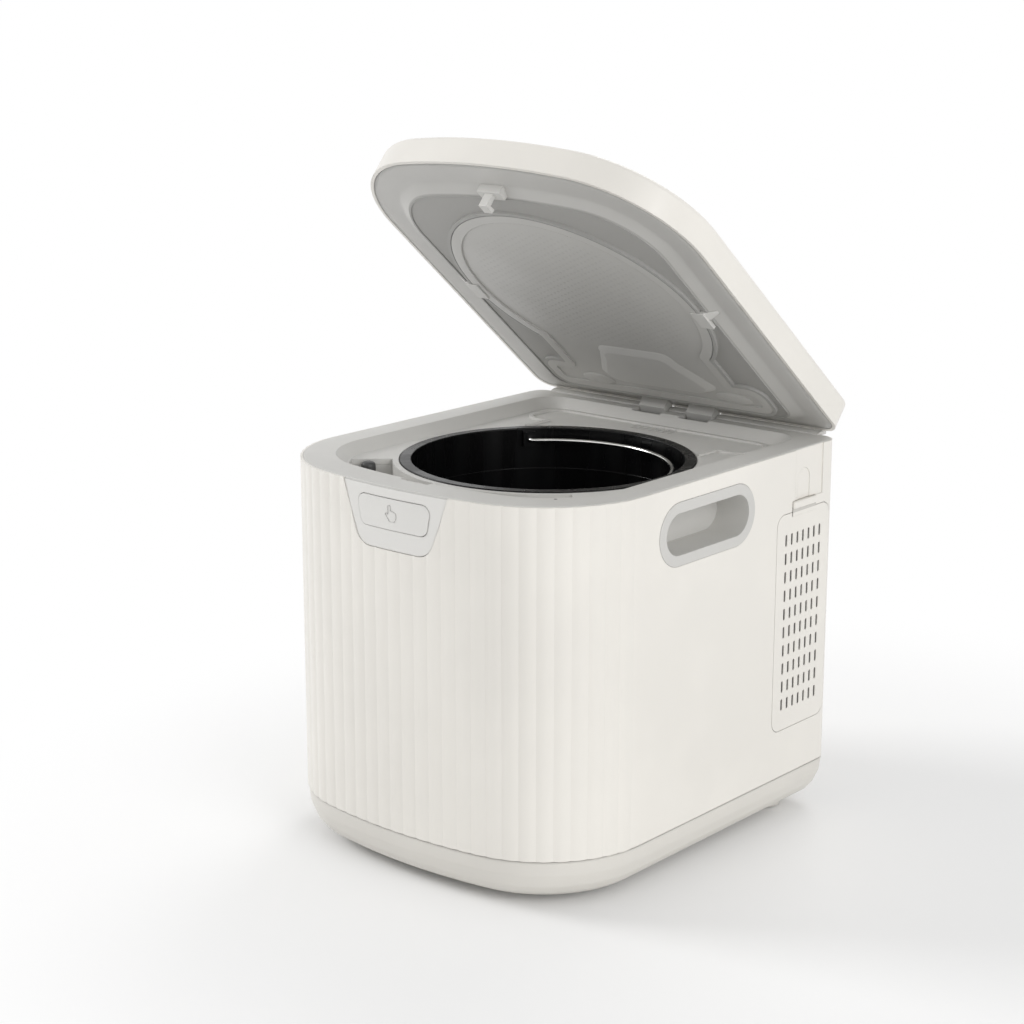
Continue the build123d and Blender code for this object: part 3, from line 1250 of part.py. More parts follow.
# ---- fan and ducts ------------------------------------------------------------------------
FAN = (0.0, FAN_Y)
FAN_TOP_Z = FAN_Z + FAN_H
FAN_FRONT_Y = FAN_Y - FAN_SIZE / 2
FAN_BACK_Y = FAN_Y + FAN_SIZE / 2
DUCT_STEP_Z = (FAN_TOP_Z + BASIN_Z) / 2
VENT_BACK_Y = WING_BACK
with BuildPart() as intake_duct:
    block((-FAN_SIZE / 2, FAN_FRONT_Y, FAN_TOP_Z), (FAN_SIZE / 2, FAN_BACK_Y, DUCT_STEP_Z))
    block((-FAN_SIZE / 2, FAN_FRONT_Y, DUCT_STEP_Z), (FAN_SIZE / 2, VENT_BACK_Y, BASIN_Z))
    block(
        (-FAN_SIZE / 2 + DUCT_WALL, FAN_FRONT_Y + DUCT_WALL, FAN_TOP_Z),
        (FAN_SIZE / 2 - DUCT_WALL, FAN_BACK_Y - DUCT_WALL, DUCT_STEP_Z - DUCT_WALL),
        Mode.SUBTRACT,
    )
    block(
        (-FAN_SIZE / 2 + DUCT_WALL, FAN_FRONT_Y + DUCT_WALL, FAN_TOP_Z),
        (FAN_SIZE / 2 - DUCT_WALL, VENT_BACK_Y - DUCT_WALL, BASIN_Z),
        Mode.SUBTRACT,
    )
keep(intake_duct, "intake_duct")

with BuildPart() as fan_frame:
    block((-FAN_SIZE / 2, FAN_FRONT_Y, FAN_Z), (FAN_SIZE / 2, FAN_BACK_Y, FAN_TOP_Z))
    fillet(fan_frame.edges().filter_by(Axis.Z), FAN_EDGE_R)
    rod(FAN, FAN_Z, FAN_TOP_Z, FAN_BORE_R, Mode.SUBTRACT)
    with BuildSketch(Plane(origin=(*FAN, FAN_Z))):
        Rectangle(FAN_SIZE - FAN_STRUT_T, FAN_STRUT_W)
        Rectangle(FAN_STRUT_W, FAN_SIZE - FAN_STRUT_T)
    extrude(amount=FAN_STRUT_T)
    rod(FAN, FAN_Z, FAN_Z + FAN_SEAT_T, FAN_HUB_R)
    rod(FAN, FAN_Z + FAN_SEAT_T, FAN_Z + FAN_SEAT_T + FAN_PIN_H, MOTOR_SHAFT_R)
keep(fan_frame, "fan_frame")

with BuildPart() as fan_impeller:
    rod(FAN, FAN_Z + FAN_SEAT_T + FAN_RUN_GAP, FAN_TOP_Z - FAN_SEAT_T, FAN_HUB_R)
    for i in range(FAN_BLADES):
        angle = 360 / FAN_BLADES * i
        x, y = turn(angle, (FAN_HUB_R + FAN_TIP_R) / 2 - 0.5, FAN)
        blade = Location((x, y, FAN_Z + FAN_H / 2), (0, 0, angle)) * Location((0, 0, 0), (FAN_PITCH, 0, 0))
        with Locations(blade):
            Box(FAN_TIP_R - FAN_HUB_R, FAN_BLADE_W, FAN_BLADE_T)
    bore_top_z = FAN_Z + FAN_SEAT_T + FAN_PIN_H + FAN_RUN_GAP
    rod(FAN, FAN_Z, bore_top_z, MOTOR_SHAFT_R + FAN_RUN_GAP, Mode.SUBTRACT)
keep(fan_impeller, "fan_impeller")

DUCT_LOW_Z = FAN_Z - DUCT_H
with BuildPart() as filter_duct:
    block((-FAN_SIZE / 2, FAN_FRONT_Y, DUCT_LOW_Z), (HOUSING_X, FAN_BACK_Y, FAN_Z))
    block(
        (-FAN_SIZE / 2 + DUCT_WALL, FAN_FRONT_Y + DUCT_WALL, DUCT_LOW_Z + DUCT_WALL),
        (HOUSING_X, FAN_BACK_Y - DUCT_WALL, FAN_Z - DUCT_WALL),
        Mode.SUBTRACT,
    )
    rod(FAN, FAN_Z - 2 * DUCT_WALL, FAN_Z, FAN_BORE_R, Mode.SUBTRACT)
keep(filter_duct, "filter_duct")

# ---- filter housing and drawer ------------------------------------------------------------
tray_half = (BAY_W / 2 - 2, BAY_H / 2 - 2)
room_half = (tray_half[0] + TRAY_GAP, tray_half[1] + TRAY_GAP)
STEM_W = 12.0
STEM_LOW_Z = BAY_TOP_Z - 8
TRAY_FRONT_X = SIDE_X - COVER_T
TRAY_BACK_X = TRAY_FRONT_X - TRAY_DEEP
STEM_X = TRAY_FRONT_X - TAB_T


def bay_box(low_x, high_x, half, mode=Mode.ADD):
    """A box centred on the filter bay, between two depths."""
    return block((low_x, BAY_Y - half[0], BAY_Z - half[1]), (high_x, BAY_Y + half[0], BAY_Z + half[1]), mode)


with BuildPart() as filter_housing:
    bay_box(HOUSING_X, INNER_X - HOUSING_GAP, (room_half[0] + HOUSING_WALL, room_half[1] + HOUSING_WALL))
    bay_box(HOUSING_X + HOUSING_WALL, INNER_X, room_half, Mode.SUBTRACT)
    block(
        (HOUSING_X, FAN_FRONT_Y + DUCT_WALL, DUCT_LOW_Z + DUCT_WALL),
        (HOUSING_X + HOUSING_WALL, BAY_Y + room_half[0] - 1, FAN_Z - DUCT_WALL),
        Mode.SUBTRACT,
    )
    block(
        (STEM_X - 1, BAY_Y - STEM_W / 2 - 1, BAY_Z),
        (INNER_X, BAY_Y + STEM_W / 2 + 1, BAY_TOP_Z + TAB_H),
        Mode.SUBTRACT,
    )
keep(filter_housing, "filter_housing")

with BuildPart() as filter_cover:
    with BuildSketch(Plane.YZ.offset(TRAY_FRONT_X)):
        with Locations((BAY_Y, BAY_Z)):
            RectangleRounded(BAY_W, BAY_H, BAY_R - BAY_GAP)
            with GridLocations(SLOT_PITCH_Y, SLOT_PITCH_Z, SLOT_COLUMNS, SLOT_ROWS):
                SlotOverall(VENT_SLOT_L, VENT_SLOT_W, rotation=90, mode=Mode.SUBTRACT)
    extrude(amount=COVER_T)
    block(
        (TRAY_FRONT_X, BAY_Y - TAB_W / 2 - TAB_GAP, BAY_TOP_Z - TAB_TRAVEL - TAB_GAP),
        (SIDE_X, BAY_Y + TAB_W / 2 + TAB_GAP, BAY_TOP_Z),
        Mode.SUBTRACT,
    )
keep(filter_cover, "filter_cover")

with BuildPart() as filter_tray:
    bay_box(TRAY_BACK_X, TRAY_FRONT_X, tray_half)
    fillet(filter_tray.edges().filter_by(Axis.X), TRAY_R)
    inner_half = (tray_half[0] - TRAY_WALL, tray_half[1] - TRAY_WALL)
    bay_box(TRAY_BACK_X + TRAY_WALL, TRAY_FRONT_X, inner_half, Mode.SUBTRACT)
    with BuildSketch(Plane.YZ.offset(TRAY_BACK_X)):
        with Locations((BAY_Y, BAY_Z)):
            with GridLocations(inner_half[0], inner_half[1] / 2, 2, 4):
                Rectangle(inner_half[0] - TRAY_RAIL, inner_half[1] / 2 - TRAY_RAIL)
    extrude(amount=TRAY_WALL, mode=Mode.SUBTRACT)
    block(
        (STEM_X - TAB_GAP, BAY_Y - STEM_W / 2 - TAB_GAP, STEM_LOW_Z - TAB_TRAVEL - TAB_GAP),
        (TRAY_FRONT_X, BAY_Y + STEM_W / 2 + TAB_GAP, BAY_TOP_Z),
        Mode.SUBTRACT,
    )
keep(filter_tray, "filter_tray")

with BuildPart() as carbon_filter:
    filter_half = (inner_half[0] - CARBON_GAP, inner_half[1] - CARBON_GAP)
    bay_box(TRAY_BACK_X + TRAY_WALL, STEM_X - 1, filter_half)
    chamfer(carbon_filter.edges().filter_by(Axis.X), TRAY_WALL)
keep(carbon_filter, "carbon_filter")

with BuildPart() as filter_latch:
    block(
        (TRAY_FRONT_X, BAY_Y - TAB_W / 2, BAY_TOP_Z + TAB_GAP),
        (SIDE_X + TAB_PROUD, BAY_Y + TAB_W / 2, BAY_TOP_Z + TAB_H),
    )
    chamfer(filter_latch.edges().group_by(Axis.X)[-1], 0.6)
    block((STEM_X, BAY_Y - STEM_W / 2, STEM_LOW_Z), (TRAY_FRONT_X, BAY_Y + STEM_W / 2, BAY_TOP_Z + TAB_H))
keep(filter_latch, "filter_latch")

# ---- electrics ----------------------------------------------------------------------------
rear_face = Plane(origin=(INLET_X, BACK_Y, INLET_Z), x_dir=(-1, 0, 0), z_dir=(0, 1, 0))
with BuildPart() as power_inlet:
    with BuildSketch(rear_face):
        RectangleRounded(INLET_FLANGE_W, INLET_FLANGE_H, 4)
    extrude(amount=INLET_WALL)
    with BuildSketch(rear_face):
        RectangleRounded(INLET_W + 2 * INLET_WALL, INLET_H + 2 * INLET_WALL, 3)
    extrude(amount=-INLET_DEEP)
    with BuildSketch(rear_face.offset(INLET_WALL)):
        RectangleRounded(INLET_W, INLET_H, 2)
    extrude(amount=-INLET_DEEP, mode=Mode.SUBTRACT)
keep(power_inlet, "power_inlet")

with BuildPart() as inlet_blades:
    with BuildSketch(rear_face.offset(INLET_WALL - INLET_DEEP)):
        with Locations((-BLADE_PITCH, -BLADE_T), (BLADE_PITCH, -BLADE_T), (0, BLADE_T)):
            Rectangle(BLADE_T, BLADE_W)
    extrude(amount=INLET_DEEP - 2 * INLET_WALL)
keep(inlet_blades, "inlet_blades")

BOARD_Y = INNER_BACK_Y - STANDOFF
board_low_x = POWER_BOARD_X - POWER_BOARD_W / 2
board_high_x = POWER_BOARD_X + POWER_BOARD_W / 2
with BuildPart() as power_board:
    block(
        (board_low_x, BOARD_Y - BOARD_T, POWER_BOARD_Z),
        (board_high_x, BOARD_Y, POWER_BOARD_Z + POWER_BOARD_H),
    )
keep(power_board, "power_board")

board_face_y = BOARD_Y - BOARD_T


def board_part(x, z, size):
    """A component on the power board, by its distances from the board's lower left corner."""
    width, height, depth = size
    low = (board_low_x + x, board_face_y - depth, POWER_BOARD_Z + z)
    return block(low, (low[0] + width, board_face_y, low[2] + height))


with BuildPart() as board_parts:
    board_part(BOARD_EDGE, BOARD_EDGE, TRANSFORMER)
    board_part(POWER_BOARD_W - BOARD_EDGE - RELAY[0], BOARD_EDGE, RELAY)
    board_part(BOARD_EDGE, POWER_BOARD_H - HEATSINK_DROP - HEATSINK[1], HEATSINK)
    for i in range(3):
        x = board_low_x + BOARD_EDGE + CAPACITOR_R + CAPACITOR_PITCH * i
        can_at = (x, board_face_y, POWER_BOARD_Z + POWER_BOARD_H / 2)
        with Locations(Plane(origin=can_at, z_dir=(0, -1, 0))):
            Cylinder(CAPACITOR_R, CAPACITOR_L, align=(Align.CENTER, Align.CENTER, Align.MIN))
keep(board_parts, "board_parts")

with BuildPart() as board_standoffs:
    for x in (board_low_x + POST_R, board_high_x - POST_R):
        for z in (POWER_BOARD_Z + POST_R, POWER_BOARD_Z + POWER_BOARD_H - POST_R):
            with Locations(Plane(origin=(x, BOARD_Y, z), z_dir=(0, 1, 0))):
                Cylinder(POST_R - 1, STANDOFF, align=(Align.CENTER, Align.CENTER, Align.MIN))
keep(board_standoffs, "board_standoffs")

with BuildPart(LID) as lid_magnet:
    rod(SENSOR_AT, FIELD_Z + LINER_T, FIELD_Z + 2 * LINER_T, SENSOR_R)
keep(lid_magnet, "lid_magnet")
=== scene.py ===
import logging
import math
from dataclasses import dataclass
from enum import Enum
from typing import Any, Optional

import bmesh
import bpy
from mathutils import Matrix, Vector


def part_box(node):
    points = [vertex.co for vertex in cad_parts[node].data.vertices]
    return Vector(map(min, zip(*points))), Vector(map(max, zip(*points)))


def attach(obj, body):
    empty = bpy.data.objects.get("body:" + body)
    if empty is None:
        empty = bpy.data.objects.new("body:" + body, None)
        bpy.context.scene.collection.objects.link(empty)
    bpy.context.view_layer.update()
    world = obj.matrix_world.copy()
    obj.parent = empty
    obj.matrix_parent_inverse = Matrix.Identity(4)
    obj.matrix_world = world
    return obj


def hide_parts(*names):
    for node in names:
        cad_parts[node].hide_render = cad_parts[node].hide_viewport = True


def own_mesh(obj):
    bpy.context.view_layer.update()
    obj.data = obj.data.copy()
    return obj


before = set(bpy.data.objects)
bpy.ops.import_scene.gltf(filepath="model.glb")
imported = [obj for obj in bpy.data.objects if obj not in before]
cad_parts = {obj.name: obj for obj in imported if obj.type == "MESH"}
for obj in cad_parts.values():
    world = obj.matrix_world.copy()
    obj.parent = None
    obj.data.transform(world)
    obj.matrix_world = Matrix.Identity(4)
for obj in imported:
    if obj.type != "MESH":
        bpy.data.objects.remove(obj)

log = logging.getLogger("composter")

Colour = tuple[float, float, float]
Paint = tuple[float, float, float, float]
Point = tuple[float, float, float]
Pair = tuple[float, float]
Material = bpy.types.Material
Mesh = bmesh.types.BMesh

MM = 0.001
WHITE: Paint = (1.0, 1.0, 1.0, 1.0)
BLACK: Paint = (0.0, 0.0, 0.0, 1.0)
HINGE = Vector((0.0, 0.1555, 0.268))
LID_OPEN = math.radians(40.0)
BUCKET_Y = -0.0055
DECK_Z = 0.278
RIM_TOP_Z = 0.2707
BUCKET_R = 0.097
COVER_Y = -0.012
COVER_DISH_Z = 0.2738
BUTTON_FRONT_Y = -0.1664


def linear(colour: Colour) -> Paint:
    """Turns a colour as it is seen on a screen into the shader's linear one.

    Args:
        colour: Red, green and blue from 0 to 1, as on a screen.

    Returns:
        The linear colour with full alpha.
    """
    red, green, blue = (c / 12.92 if c <= 0.04045 else ((c + 0.055) / 1.055) ** 2.4 for c in colour)
    return (red, green, blue, 1.0)


def scaled(paint: Paint, factor: float, lift: float = 0.0) -> Paint:
    """Makes a linear colour darker or lighter.

    Args:
        paint: The linear colour.
        factor: What red, green and blue are multiplied by.
        lift: What is then added to each of them.

    Returns:
        The new linear colour with full alpha.
    """
    red, green, blue = (part * factor + lift for part in paint[:3])
    return (red, green, blue, 1.0)


class Signal:
    """One output of a material's node, which takes part in Python arithmetic."""

    def __init__(self, sheet: "Sheet", socket: bpy.types.NodeSocket) -> None:
        """Holds the socket and the sheet that it lives on.

        Args:
            sheet: The material's node sheet.
            socket: The output socket.
        """
        self.sheet = sheet
        self.socket = socket

    def _math(self, operation: str, first: Any, second: Any = 0.0) -> "Signal":
        """Adds a Math node.

        Args:
            operation: The Math node's operation.
            first: The first value.
            second: The second value.

        Returns:
            The node's result.
        """
        return self.sheet.node("ShaderNodeMath", {"operation": operation}, {0: first, 1: second})

    def __add__(self, other: Any) -> "Signal":
        """self + other."""
        return self._math("ADD", self, other)

    __radd__ = __add__

    def __sub__(self, other: Any) -> "Signal":
        """self - other."""
        return self._math("SUBTRACT", self, other)

    def __rsub__(self, other: Any) -> "Signal":
        """other - self."""
        return self._math("SUBTRACT", other, self)

    def __mul__(self, other: Any) -> "Signal":
        """self * other."""
        return self._math("MULTIPLY", self, other)

    __rmul__ = __mul__

    def __gt__(self, other: Any) -> "Signal":
        """1 where self is above other."""
        return self._math("GREATER_THAN", self, other)

    def __lt__(self, other: Any) -> "Signal":
        """1 where self is below other."""
        return self._math("LESS_THAN", self, other)

    def __abs__(self) -> "Signal":
        """The distance of self from 0."""
        return self._math("ABSOLUTE", self)

    def sine(self) -> "Signal":
        """The sine of self, in radians."""
        return self._math("SINE", self)

    def fraction(self) -> "Signal":
        """What is left of self past a whole number."""
        return self._math("FRACT", self)

    def most(self, other: Any) -> "Signal":
        """The larger of self and other."""
        return self._math("MAXIMUM", self, other)

    def root(self) -> "Signal":
        """The square root of self."""
        return self._math("SQRT", self)

    def length(self, other: "Signal") -> "Signal":
        """The length of the vector that self and other make."""
        return (self * self + other * other).root()

    def ramp(self, low: float, high: float, start: float = 0.0, end: float = 1.0) -> "Signal":
        """Runs smoothly between two values.

        Args:
            low: Where the ramp begins.
            high: Where the ramp ends.
            start: The result at and below low.
            end: The result at and above high.

        Returns:
            The smooth ramp's value.
        """
        inputs = {0: self, 1: low, 2: high, 3: start, 4: end}
        return self.sheet.node("ShaderNodeMapRange", {"interpolation_type": "SMOOTHSTEP"}, inputs)

    def fall(self, low: float, high: float) -> "Signal":
        """1 at and below low, running smoothly to 0 at high."""
        return self.ramp(low, high, 1.0, 0.0)

    def within(self, low: float, high: float, soft: float) -> "Signal":
        """1 between two values, running smoothly to 0 outside them.

        Args:
            low: The lower value.
            high: The upper value.
            soft: How far outside them the result reaches 0.

        Returns:
            The band's value.
        """
        return self.ramp(low - soft, low) * self.fall(high, high + soft)


class Sheet:
    """The node sheet of one material, with a shader and short ways to feed it."""

    def __init__(self, name: str) -> None:
        """Makes an empty material with a shader that is joined to its output.

        Args:
            name: The material's name.
        """
        self.material = bpy.data.materials.new(name)
        self.material.use_nodes = True
        self.tree = self.material.node_tree
        self.tree.nodes.clear()
        self.surface = self.tree.nodes.new("ShaderNodeOutputMaterial").inputs["Surface"]
        self.shader = self.tree.nodes.new("ShaderNodeBsdfPrincipled")
        self.tree.links.new(self.shader.outputs[0], self.surface)
        self._place: Optional[Signal] = None
        self._lid_place: Optional[Signal] = None

    def _feed(self, socket: bpy.types.NodeSocket, value: Any) -> None:
        """Links a signal to a socket, or sets the socket's own value.

        Args:
            socket: The input socket.
            value: A Signal, a number, a colour or a vector.
        """
        if isinstance(value, Signal):
            self.tree.links.new(value.socket, socket)
        else:
            socket.default_value = value

    def node(
        self, kind: str, settings: dict[str, Any], inputs: dict[Any, Any], output: Any = 0
    ) -> Signal:
        """Adds a node of any type.

        Args:
            kind: The node's type name.
            settings: Its own settings, which are set first.
            inputs: Values or signals for its sockets, by number or by name.
            output: Which of its outputs is wanted.

        Returns:
            The wanted output.
        """
        made = self.tree.nodes.new(kind)
        for key, value in settings.items():
            setattr(made, key, value)
        for key, value in inputs.items():
            self._feed(made.inputs[key], value)
        return Signal(self, made.outputs[output])

    def place(self) -> Signal:
        """The point on the surface, in the row frame.

        Returns:
            Its coordinates, in metres.
        """
        if self._place is None:
            self._place = self.node("ShaderNodeTexCoord", {}, {}, "Object")
        return self._place

    def axis(self, letter: str) -> Signal:
        """One coordinate of the point on the surface.

        Args:
            letter: "X", "Y" or "Z".

        Returns:
            The coordinate in metres.
        """
        return self.node("ShaderNodeSeparateXYZ", {}, {0: self.place()}, letter)

    def lid_axis(self, letter: str) -> Signal:
        """One coordinate of the point on the surface, turned back to its place on the shut lid.

        Args:
            letter: "X", "Y" or "Z".

        Returns:
            The coordinate in metres.
        """
        if self._lid_place is None:
            inputs = {0: self.place(), 1: tuple(HINGE)}
            shift = self.node("ShaderNodeVectorMath", {"operation": "SUBTRACT"}, inputs)
            inputs = {0: shift, "Rotation": (LID_OPEN, 0.0, 0.0)}
            turned = self.node("ShaderNodeMapping", {"vector_type": "POINT"}, inputs)
            inputs = {0: turned, 1: tuple(HINGE)}
            self._lid_place = self.node("ShaderNodeVectorMath", {"operation": "ADD"}, inputs)
        return self.node("ShaderNodeSeparateXYZ", {}, {0: self._lid_place}, letter)

    def noise(self, scale: float, detail: float = 2.0, vector: Optional[Signal] = None) -> Signal:
        """Soft noise over the surface.

        Args:
            scale: Its scale, in features a metre.
            detail: How many finer layers it has.
            vector: The coordinates, or None for the point itself.

        Returns:
            The noise from 0 to 1.
        """
        inputs = {"Vector": vector or self.place(), "Scale": scale, "Detail": detail}
        return self.node("ShaderNodeTexNoise", {}, inputs)

    def cloud(self, scale: float = 9.0) -> Signal:
        """Broad soft unevenness, from 0 to 1."""
        return self.noise(scale, 3.0).ramp(0.35, 0.65)

    def smudges(self, least: float, most: float) -> Signal:
        """The roughness under handling marks, from least to most."""
        return self.noise(38.0, 4.0).ramp(0.3, 0.75, least, most)

    def dust(self) -> Signal:
        """Fine dust on rubber, from 0 to 1."""
        return self.noise(160.0, 5.0).ramp(0.5, 0.8)

    def skin(self) -> Signal:
        """The normal of a matt rubber skin."""
        return self.bump(self.noise(1900.0, 2.0), 0.03 * MM, 0.7)

    def cells(self, feature: str, scale: float) -> Signal:
        """Voronoi cells over the surface.

        Args:
            feature: What is measured in each cell.
            scale: Their scale, in cells a metre.

        Returns:
            The measured distance.
        """
        inputs = {"Vector": self.place(), "Scale": scale}
        return self.node("ShaderNodeTexVoronoi", {"feature": feature}, inputs)

    def rounded(self, radius: float, samples: int = 4) -> Signal:
        """The surface's normal, with its edges rounded over.

        Args:
            radius: The radius of the rounding.
            samples: How finely it is sampled.

        Returns:
            The normal.
        """
        return self.node("ShaderNodeBevel", {"samples": samples}, {"Radius": radius})

    def stretched(self, factors: Point) -> Signal:
        """The point on the surface with each axis scaled.

        Args:
            factors: The scale along X, Y and Z.

        Returns:
            The scaled coordinates.
        """
        inputs = {0: self.place(), 1: factors}
        return self.node("ShaderNodeVectorMath", {"operation": "MULTIPLY"}, inputs)

    def blend(self, factor: Any, first: Any, second: Any) -> Signal:
        """Mixes two colours.

        Args:
            factor: 0 for the first, 1 for the second.
            first: A colour or a signal.
            second: A colour or a signal.

        Returns:
            The mixed colour.
        """
        settings = {"data_type": "RGBA", "blend_type": "MIX"}
        return self.node("ShaderNodeMix", settings, {0: factor, 6: first, 7: second}, 2)

    def bump(
        self, height: Signal, distance: float, strength: float = 1.0, under: Optional[Signal] = None
    ) -> Signal:
        """Turns a height into a surface normal.

        Args:
            height: The height from 0 to 1.
            distance: What a height of 1 is, in metres.
            strength: How strongly it shows.
            under: A normal that it is laid over.

        Returns:
            The normal.
        """
        inputs = {"Height": height, "Distance": distance, "Strength": strength}
        if under is not None:
            inputs["Normal"] = under
        return self.node("ShaderNodeBump", {}, inputs)

    def fade_to_white(self, factor: Signal) -> None:
        """Mixes the surface with plain white light.

        Args:
            factor: How far the surface is white.
        """
        white = self.tree.nodes.new("ShaderNodeEmission")
        mixed = self.tree.nodes.new("ShaderNodeMixShader")
        self._feed(mixed.inputs[0], factor)
        self.tree.links.new(self.shader.outputs[0], mixed.inputs[1])
        self.tree.links.new(white.outputs[0], mixed.inputs[2])
        self.tree.links.new(mixed.outputs[0], self.surface)

    def finish(self, **values: Any) -> Material:
        """Feeds the shader's sockets.

        Args:
            **values: Socket names, with underscores for spaces, and their values.

        Returns:
            The finished material.
        """
        for key, value in values.items():
            self._feed(self.shader.inputs[key.replace("_", " ")], value)
        return self.material


@dataclass(frozen=True)
class MouldedPlastic:
    """Injection moulded plastic: faint unevenness, a fine grain and handling marks.

    A band along one axis may be darker, as painted shade. It is given as the axis, its two ends and
    its tint.
    """

    name: str
    colour: Colour
    roughness: float = 0.38
    spread: Pair = (-0.05, 0.07)
    tone: float = 0.955
    wave: float = 0.03 * MM
    wave_scale: float = 120.0
    grain: float = 0.02 * MM
    grain_scale: float = 2600.0
    clearcoat: float = 0.0
    coat_roughness: float = 0.12
    edge: float = 0.6 * MM
    shaded: Optional[tuple[str, float, float, float]] = None
    soft: float = 0.4 * MM

    def material(self) -> Material:
        """Builds the material.

        Returns:
            The material.
        """
        sheet = Sheet(self.name)
        base = linear(self.colour)
        colour = sheet.blend(sheet.cloud(), scaled(base, self.tone), base)
        if self.shaded:
            axis, low, high, tint = self.shaded
            # Painted shade: the band takes a darker copy of the base colour.
            band = sheet.axis(axis).within(low, high, self.soft)
            colour = sheet.blend(band, colour, scaled(base, tint))
        waves = sheet.noise(self.wave_scale, 1.0)
        under = sheet.bump(waves, self.wave, 0.5, sheet.rounded(self.edge))
        return sheet.finish(
            Base_Color=colour,
            Roughness=sheet.smudges(*(self.roughness + more for more in self.spread)),
            Normal=sheet.bump(sheet.noise(self.grain_scale, 1.0), self.grain, 0.6, under),
            Coat_Weight=self.clearcoat,
            Coat_Roughness=self.coat_roughness,
        )


@dataclass(frozen=True)
class DeckPlastic:
    """The deck's fine grained grey plastic, lighter on its bib, with a small pin hole on its front
    whose dark inside is painted shade.
    """

    name: str
    colour: Colour
    bib: Colour = (0.885, 0.880, 0.866)
    bib_back: Pair = (-158.0 * MM, -157.0 * MM)
    bib_top: Pair = (DECK_Z - 1.6 * MM, DECK_Z - 1.0 * MM)
    roughness: Pair = (0.38, 0.5)
    tone: float = 0.95
    edge: float = 0.9 * MM
    grain: float = 0.02 * MM
    grain_scale: float = 2400.0
    mark: Pair = (101.4 * MM, -120.7 * MM)
    mark_r: Pair = (0.7 * MM, 1.6 * MM)
    mark_low: float = DECK_Z - 0.2 * MM
    pin_hole_shade: Colour = (0.30, 0.30, 0.30)
    mark_depth: float = 6.0

    def material(self) -> Material:
        """Builds the material.

        Returns:
            The material.
        """
        sheet = Sheet(self.name)
        x, y = sheet.axis("X") - self.mark[0], sheet.axis("Y") - self.mark[1]
        dot = x.length(y).fall(*self.mark_r) * (sheet.axis("Z") > self.mark_low)
        base = linear(self.colour)
        plain = sheet.blend(sheet.cloud(), scaled(base, self.tone), base)
        on_bib = sheet.axis("Y").fall(*self.bib_back) * sheet.axis("Z").fall(*self.bib_top)
        plain = sheet.blend(on_bib, plain, linear(self.bib))
        height = sheet.noise(self.grain_scale, 1.0) - dot * self.mark_depth
        return sheet.finish(
            # Painted shade: the dot of the pin hole is darkened to stand for the shade inside it.
            Base_Color=sheet.blend(dot, plain, linear(self.pin_hole_shade)),
            Roughness=sheet.smudges(*self.roughness),
            Normal=sheet.bump(height, self.grain, 0.6, sheet.rounded(self.edge)),
        )


@dataclass(frozen=True)
class LinerPlastic:
    """The lid's grey liner: satin on its slope and rim, rougher in its sunk field, whose colour is
    darkened there as painted shade.
    """

    name: str
    colour: Colour
    field_z: Pair = (274.9 * MM, 275.4 * MM)
    slope_z: Pair = (275.7 * MM, 277.3 * MM)
    roughness: Pair = (0.38, 0.55)
    round_over: float = 7.0 * MM
    edge: float = 0.7 * MM
    field_shade: float = 0.72
    cloudy: float = 0.06
    grain: float = 0.04 * MM
    grain_scale: float = 1800.0
    satin_grain: float = 0.3

    def material(self) -> Material:
        """Builds the material.

        Returns:
            The material.
        """
        sheet = Sheet(self.name)
        up = sheet.lid_axis("Z")
        sunk = up.fall(*self.field_z)
        base = linear(self.colour)
        satin = sheet.blend(sheet.cloud(12.0) * self.cloudy, base, BLACK)
        inputs = {
            0: up.ramp(*self.slope_z),
            4: sheet.rounded(self.edge),
            5: sheet.rounded(self.round_over, 8),
        }
        soft = sheet.node("ShaderNodeMix", {"data_type": "VECTOR"}, inputs, 1)
        depth = sunk * (1.0 - self.satin_grain) + self.satin_grain
        height = sheet.noise(self.grain_scale, 2.0) * depth
        return sheet.finish(
            # Painted shade: the sunk field takes a darker copy of the liner's grey.
            Base_Color=sheet.blend(sunk, satin, scaled(base, self.field_shade)),
            Roughness=sunk.ramp(0.0, 1.0, *self.roughness),
            Normal=sheet.bump(height, self.grain, 0.6, soft),
        )


@dataclass(frozen=True)
class GlossCoating:
    """Black non-stick coating: glossy, with fleck, fine wipe marks and orange peel."""

    name: str
    colour: Colour
    roughness: float = 0.24
    wiped: float = 0.12
    wipe_scale: float = 60.0
    wipe_stretch: Point = (1.0, 1.0, 0.15)
    fleck_scale: float = 5200.0
    fleck_size: Pair = (0.66, 0.74)
    fleck_light: Pair = (2.6, 0.01)
    peel: float = 0.02 * MM
    peel_scale: float = 420.0
    ior: float = 1.32

    def material(self) -> Material:
        """Builds the material.

        Returns:
            The material.
        """
        sheet = Sheet(self.name)
        fleck = sheet.noise(self.fleck_scale, 1.0).ramp(*self.fleck_size)
        base = linear(self.colour)
        colour = sheet.blend(fleck * 0.5, base, scaled(base, *self.fleck_light))
        wipes = sheet.noise(self.wipe_scale, 3.0, sheet.stretched(self.wipe_stretch))
        rough = wipes.ramp(0.35, 0.7, self.roughness, self.roughness + self.wiped)
        normal = sheet.bump(sheet.noise(self.peel_scale, 2.0), self.peel, 0.5)
        return sheet.finish(Base_Color=colour, Roughness=rough, Normal=normal, IOR=self.ior)


class Brush(Enum):
    """Which way the brush marks of a metal run."""

    ALONG_X = (8.0, 900.0, 900.0)
    ALONG_Z = (900.0, 900.0, 8.0)
    NONE = (350.0, 350.0, 350.0)


